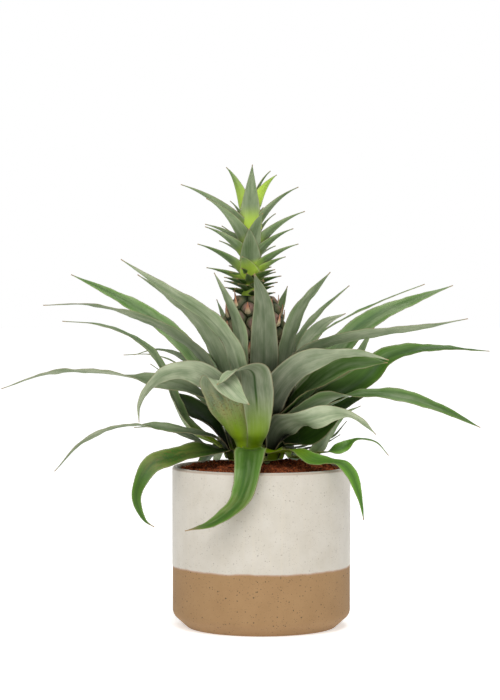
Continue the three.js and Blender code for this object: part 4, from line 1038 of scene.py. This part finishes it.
def bracts(eyes, eye_t):
    """Under each fruitlet of the middle a dry pointed bract curves up over it, papery, cream over olive and
    orange-rose towards its tip. They come in three brightnesses by turns."""
    s = np.linspace(0, 1, BRACT_ROWS + 1)
    shape = Mesh()
    for k in np.flatnonzero((eye_t > 0.3) & (eye_t < 0.9)):
        out = heading(k * GOLDEN_TURN)
        root = eyes[k] + BRACT_ROOT[0] * out + [0, 0, BRACT_ROOT[1]]
        stops = [root + reach * out + [0, 0, rise] for reach, rise in ((0, 0), *BRACT_STOPS)]
        light = BRACT_LIGHTS[k % 3] + 0 * s
        dress = np.stack([0.7 + 0 * s, light, 0.85 * smooth((s - 0.4) / 0.4), 0 * s], axis=1)
        blade_strip(shape, stops, out, BRACT_WIDTH, dress, 200 + k, columns=7, thick=0.3, keel=0.3, power=1.2)
    skin = leaf_material("dry_bract", "#9a8e5c", "#4e4a2a", "#c4b088", "#e8d8b4", "#b4684a")
    shape.piece("fruit_bracts", skin, "fruit_skin", "fruit")


# Crown


def crown_stem(z):
    """The middle of the crown's stem, leaning a little to the left, at a height or at several."""
    t = (z - CROWN_BOTTOM) / (CROWN_CORE_TOP - CROWN_BOTTOM)
    return np.stack([mix(CROWN_BOTTOM_X, CROWN_TOP_X, t), 0 * t, z + 0 * t], axis=-1)


# Crown leaves that show from the front: tip as (x, depth, z), the height of the root, the width, the bloom
# and how far the yellow-green base, with its painted glow of light shining through, runs
CROWN_LEAVES = [
    ((-7, -10, 362), 312, 20, 0.85, 0.32),
    ((-27.5, -3, 360), 318, 17, 0.3, 0.75),
    ((12, -3, 354), 322, 18, 0.1, 1.1),
    ((7, 9, 357), 326, 11, 0.2, 0.5),
    ((-63, -6, 346.5), 308, 17, 0.75, 0.2),
    ((-43, -26, 335.5), 298, 17, 0.75, 0.2),
    ((29, 2, 344.5), 308, 15, 0.7, 0.3),
    ((34, -12, 325.5), 294, 15, 0.6, 0.3),
    ((1, -28, 324), 294, 16, 0.8, 0.1),
    ((-9.5, -32, 312), 286, 18, 0.8, 0.12),
    ((-44, 12, 315.5), 296, 14, 0.7, 0.3),
    ((-44, -16, 313.5), 288, 15, 0.7, 0.3),
    ((25, -8, 312), 287, 14, 0.5, 0.25),
    ((-33, 20, 302.5), 284, 11, 0.5, 0.4),
    ((11, 24, 298.5), 283, 11, 0.4, 0.4),
    ((-50, -6, 300), 274, 15, 0.5, 0.35),
    ((29, -8, 300), 277, 14, 0.35, 0.32),
    ((-15, -32, 290), 275, 18, 0.5, 0.8),
    ((-43, -4, 281.5), 269, 12, 0.3, 0.5),
    ((19, -5, 290), 273, 13, 0.3, 0.6),
]


def crown_leaf(mesh, number, root, tip, width, bloom, yellow, rows=26, light=1.0, dry=0.94, spine=0.5):
    """A crown leaf climbs first and then leans out, along a curve of second degree; one that heads sideways
    is rolled a little, outer face to the front."""
    base = crown_stem(root)
    bow = mix(base, tip, 0.4)
    bow[2] = mix(base[2], tip[2], CROWN_CLIMB)
    u = np.linspace(0, 1, 9)[:, None]
    stops = base * (1 - u) ** 2 + 2 * bow * u * (1 - u) + tip * u**2
    out = unit((tip - base) * [1, 1, 0])
    sideways = smooth((abs(tip[0] - base[0]) - 15) / 15)
    s = np.linspace(0, 1, rows + 1)
    lit = light * mix(mix(1.05, 0.6, sideways), 1, smooth(s / 0.5))
    yellowed = 0.9 * (1 - smooth((s - 0.25 * yellow) / yellow))
    dress = np.stack([bloom + 0 * s, lit, yellowed, smooth((s - dry) / (1.001 - dry)) ** 1.5], axis=1)
    grid, rims = blade_strip(mesh, stops, out, width * mix(1.0, 0.86, sideways), dress, number,
                             roll=math.radians(-CROWN_ROLL * out[0]), slim=mix(0.3, 0.55, sideways), clasp=0.4,
                             foot=0.45 if root > NARROW_FOOT_ROOT else 1.0)
    spines(mesh, grid, rims, dress, 0.25, 0.92, spine)


def neck_leaves(mesh, first):
    """Short spiny leaves round the neck, in a spiral that climbs from the fruit and spreads as it does. A
    smaller one stands over each."""
    for k in range(NECK_LEAVES):
        t = k / (NECK_LEAVES - 1)
        root = mix(*NECK_ROOTS, t)
        tip = crown_stem(root + mix(6, 10, t)) + mix(19, 27, t) * heading(k * GOLDEN_TURN)
        crown_leaf(mesh, first + 2 * k, root, tip, NECK_WIDTH, 0.25, mix(0.1, 0.4, t), rows=14,
                   light=mix(0.45, 0.6, t), dry=0.85, spine=1.3)
        tip = crown_stem(root + mix(8, 12, t)) + mix(14, 18, t) * heading((k + 0.5) * GOLDEN_TURN)
        crown_leaf(mesh, first + 2 * k + 1, root + 3, tip, NECK_WIDTH, 0.15, 0.4, rows=12,
                   light=mix(0.42, 0.7, t), dry=0.85, spine=1.3)


def back_crown_leaves(mesh, first):
    """Longer leaves over the back, which keep the spiral going up to the top."""
    for k in range(BACK_CROWN_LEAVES):
        t = k / (BACK_CROWN_LEAVES - 1)
        root = mix(*BACK_CROWN_ROOTS, t)
        reach = 40 * math.sin(math.pi * (0.25 + 0.6 * t))
        tip = crown_stem(root + 28) + reach * heading(math.pi / 2 + 0.62 * math.sin(k * GOLDEN_TURN * 2))
        crown_leaf(mesh, first + k, root, tip, mix(15, 11, t), 0.6, 0.35, rows=22)


def crown():
    """The leaves that show, those round the neck and over the back, and the stem that they stand on. Nothing
    of it reaches below the fruit's top."""
    mesh = Mesh()
    for number, (tip, root, width, bloom, yellow) in enumerate(CROWN_LEAVES):
        light = 0.83 + 0.06 * (number % 3)
        crown_leaf(mesh, number, root, seen([tip])[0], 0.97 * width, bloom, yellow, light=light)
    neck_leaves(mesh, len(CROWN_LEAVES))
    back_crown_leaves(mesh, len(CROWN_LEAVES) + 2 * NECK_LEAVES)
    up = np.linspace(0, 1, CROWN_STEM_ROWS)
    radius = np.interp(up, [0, 0.1, 0.25, 0.6, 0.85, 1], [8, 6, 4.5, 3.5, 2.5, 1])
    turn = np.linspace(0, 2 * np.pi, CROWN_STEM_SIDES, endpoint=False)
    ring = np.stack([np.cos(turn), np.sin(turn), 0 * turn], axis=1)
    points = crown_stem(mix(FRUIT_TOP, CROWN_CORE_TOP, up))[:, None] + ring * radius[:, None, None]
    count = CROWN_STEM_ROWS * CROWN_STEM_SIDES
    mesh.add(points, tube_faces(CROWN_STEM_ROWS, CROWN_STEM_SIDES), blade=np.zeros((count, 2)),
             dress=np.tile([0.1, 0.6, 0.7, 0.0], (count, 1)), rim=np.tile([0.0, 0, 0, 1], (count, 1)))
    for points in mesh.points:
        points[:, 2] = np.maximum(points[:, 2], FRUIT_TOP)
    skin = leaf_material("crown_leaf_skin", "#6f9a36", "#2f4d1a", "#68785a", "#98a482", "#b2d046")
    mesh.piece("crown_of_leaves", skin, "crown_leaf", "crown")


# Studio: a wide pale floor, soft light from in front and above, and a camera where the plant was seen from


def ground():
    """A flat round floor that reaches out to the white backdrop: it glows more, the further it is from the pot.
    """
    mesh = bpy.data.meshes.new("floor")
    turn = np.linspace(0, 2 * np.pi, FLOOR_SIDES, endpoint=False)
    circle = FLOOR_RADIUS * np.stack([np.cos(turn), np.sin(turn), 0 * turn], axis=1)
    mesh.from_pydata(circle.tolist(), [], [list(range(FLOOR_SIDES))])
    material, tree, place = new_material("pale_floor")
    far = node(tree, "VectorMath", {0: place}, "Value", operation="LENGTH")
    glow = node(tree, "MapRange", {"Value": far, "From Min": FLOOR_GLOW_REACH[0],
                                   "From Max": FLOOR_GLOW_REACH[1], "To Min": FLOOR_GLOW[0],
                                   "To Max": FLOOR_GLOW[1]})
    surfaced(material, {"Base Color": "#fafaf9", "Roughness": 0.9, "Specular IOR Level": 0.1,
                        "Emission Color": "#ffffff", "Emission Strength": glow})
    mesh.materials.append(material)
    floor = bpy.data.objects.new("floor", mesh)
    bpy.context.scene.collection.objects.link(floor)


def room():
    """A low white backdrop all round the plant, and a dim ceiling above it."""
    world = bpy.data.worlds.new("white_room")
    world.use_nodes = True
    sky = world.node_tree
    up = node(sky, "SeparateXYZ", {0: node(sky, "TexCoord", out="Generated")}, 2)
    level = node(sky, "MapRange", {"Value": up, "From Min": -1.0, "From Max": 1.0})
    stops = ((BACKDROP_TOP, 1.0), (BACKDROP_TOP + 0.06, CEILING_LIGHT), (1.0, CEILING_LIGHT + 0.1))
    sky.links.new(node(sky, "ValToRGB", {0: level}, stops=stops), sky.nodes["Background"].inputs["Color"])
    bpy.context.scene.world = world


def lights():
    """Square soft lights, each turned from its place to the point that it shines at."""
    for name, place, aim, size, watts in SOFT_LIGHTS:
        light = bpy.data.lights.new(name, "AREA")
        light.shape = "SQUARE"
        light.size = size
        light.energy = watts
        lamp = bpy.data.objects.new(name, light)
        lamp.location = place
        x, y, z = np.subtract(aim, place)
        lamp.rotation_euler = (math.atan2(math.hypot(x, y), -z), 0, math.atan2(y, x) - math.pi / 2)
        bpy.context.scene.collection.objects.link(lamp)


def camera():
    """The camera that the photograph was taken with, as its perspective tells."""
    lens = bpy.data.cameras.new("camera")
    lens.sensor_width = CAMERA_SENSOR
    lens.lens = CAMERA_LENS
    lens.clip_end = CAMERA_SIGHT
    holder = bpy.data.objects.new("camera", lens)
    holder.location = EYE * MM
    holder.rotation_euler = (math.radians(90 - CAMERA_DIP), 0, 0)
    bpy.context.scene.collection.objects.link(holder)
    bpy.context.scene.camera = holder
    bpy.context.scene.view_settings.view_transform = "Standard"


pot()
soil()
stump()
rosette()
fruit()
crown()
ground()
room()
lights()
camera()
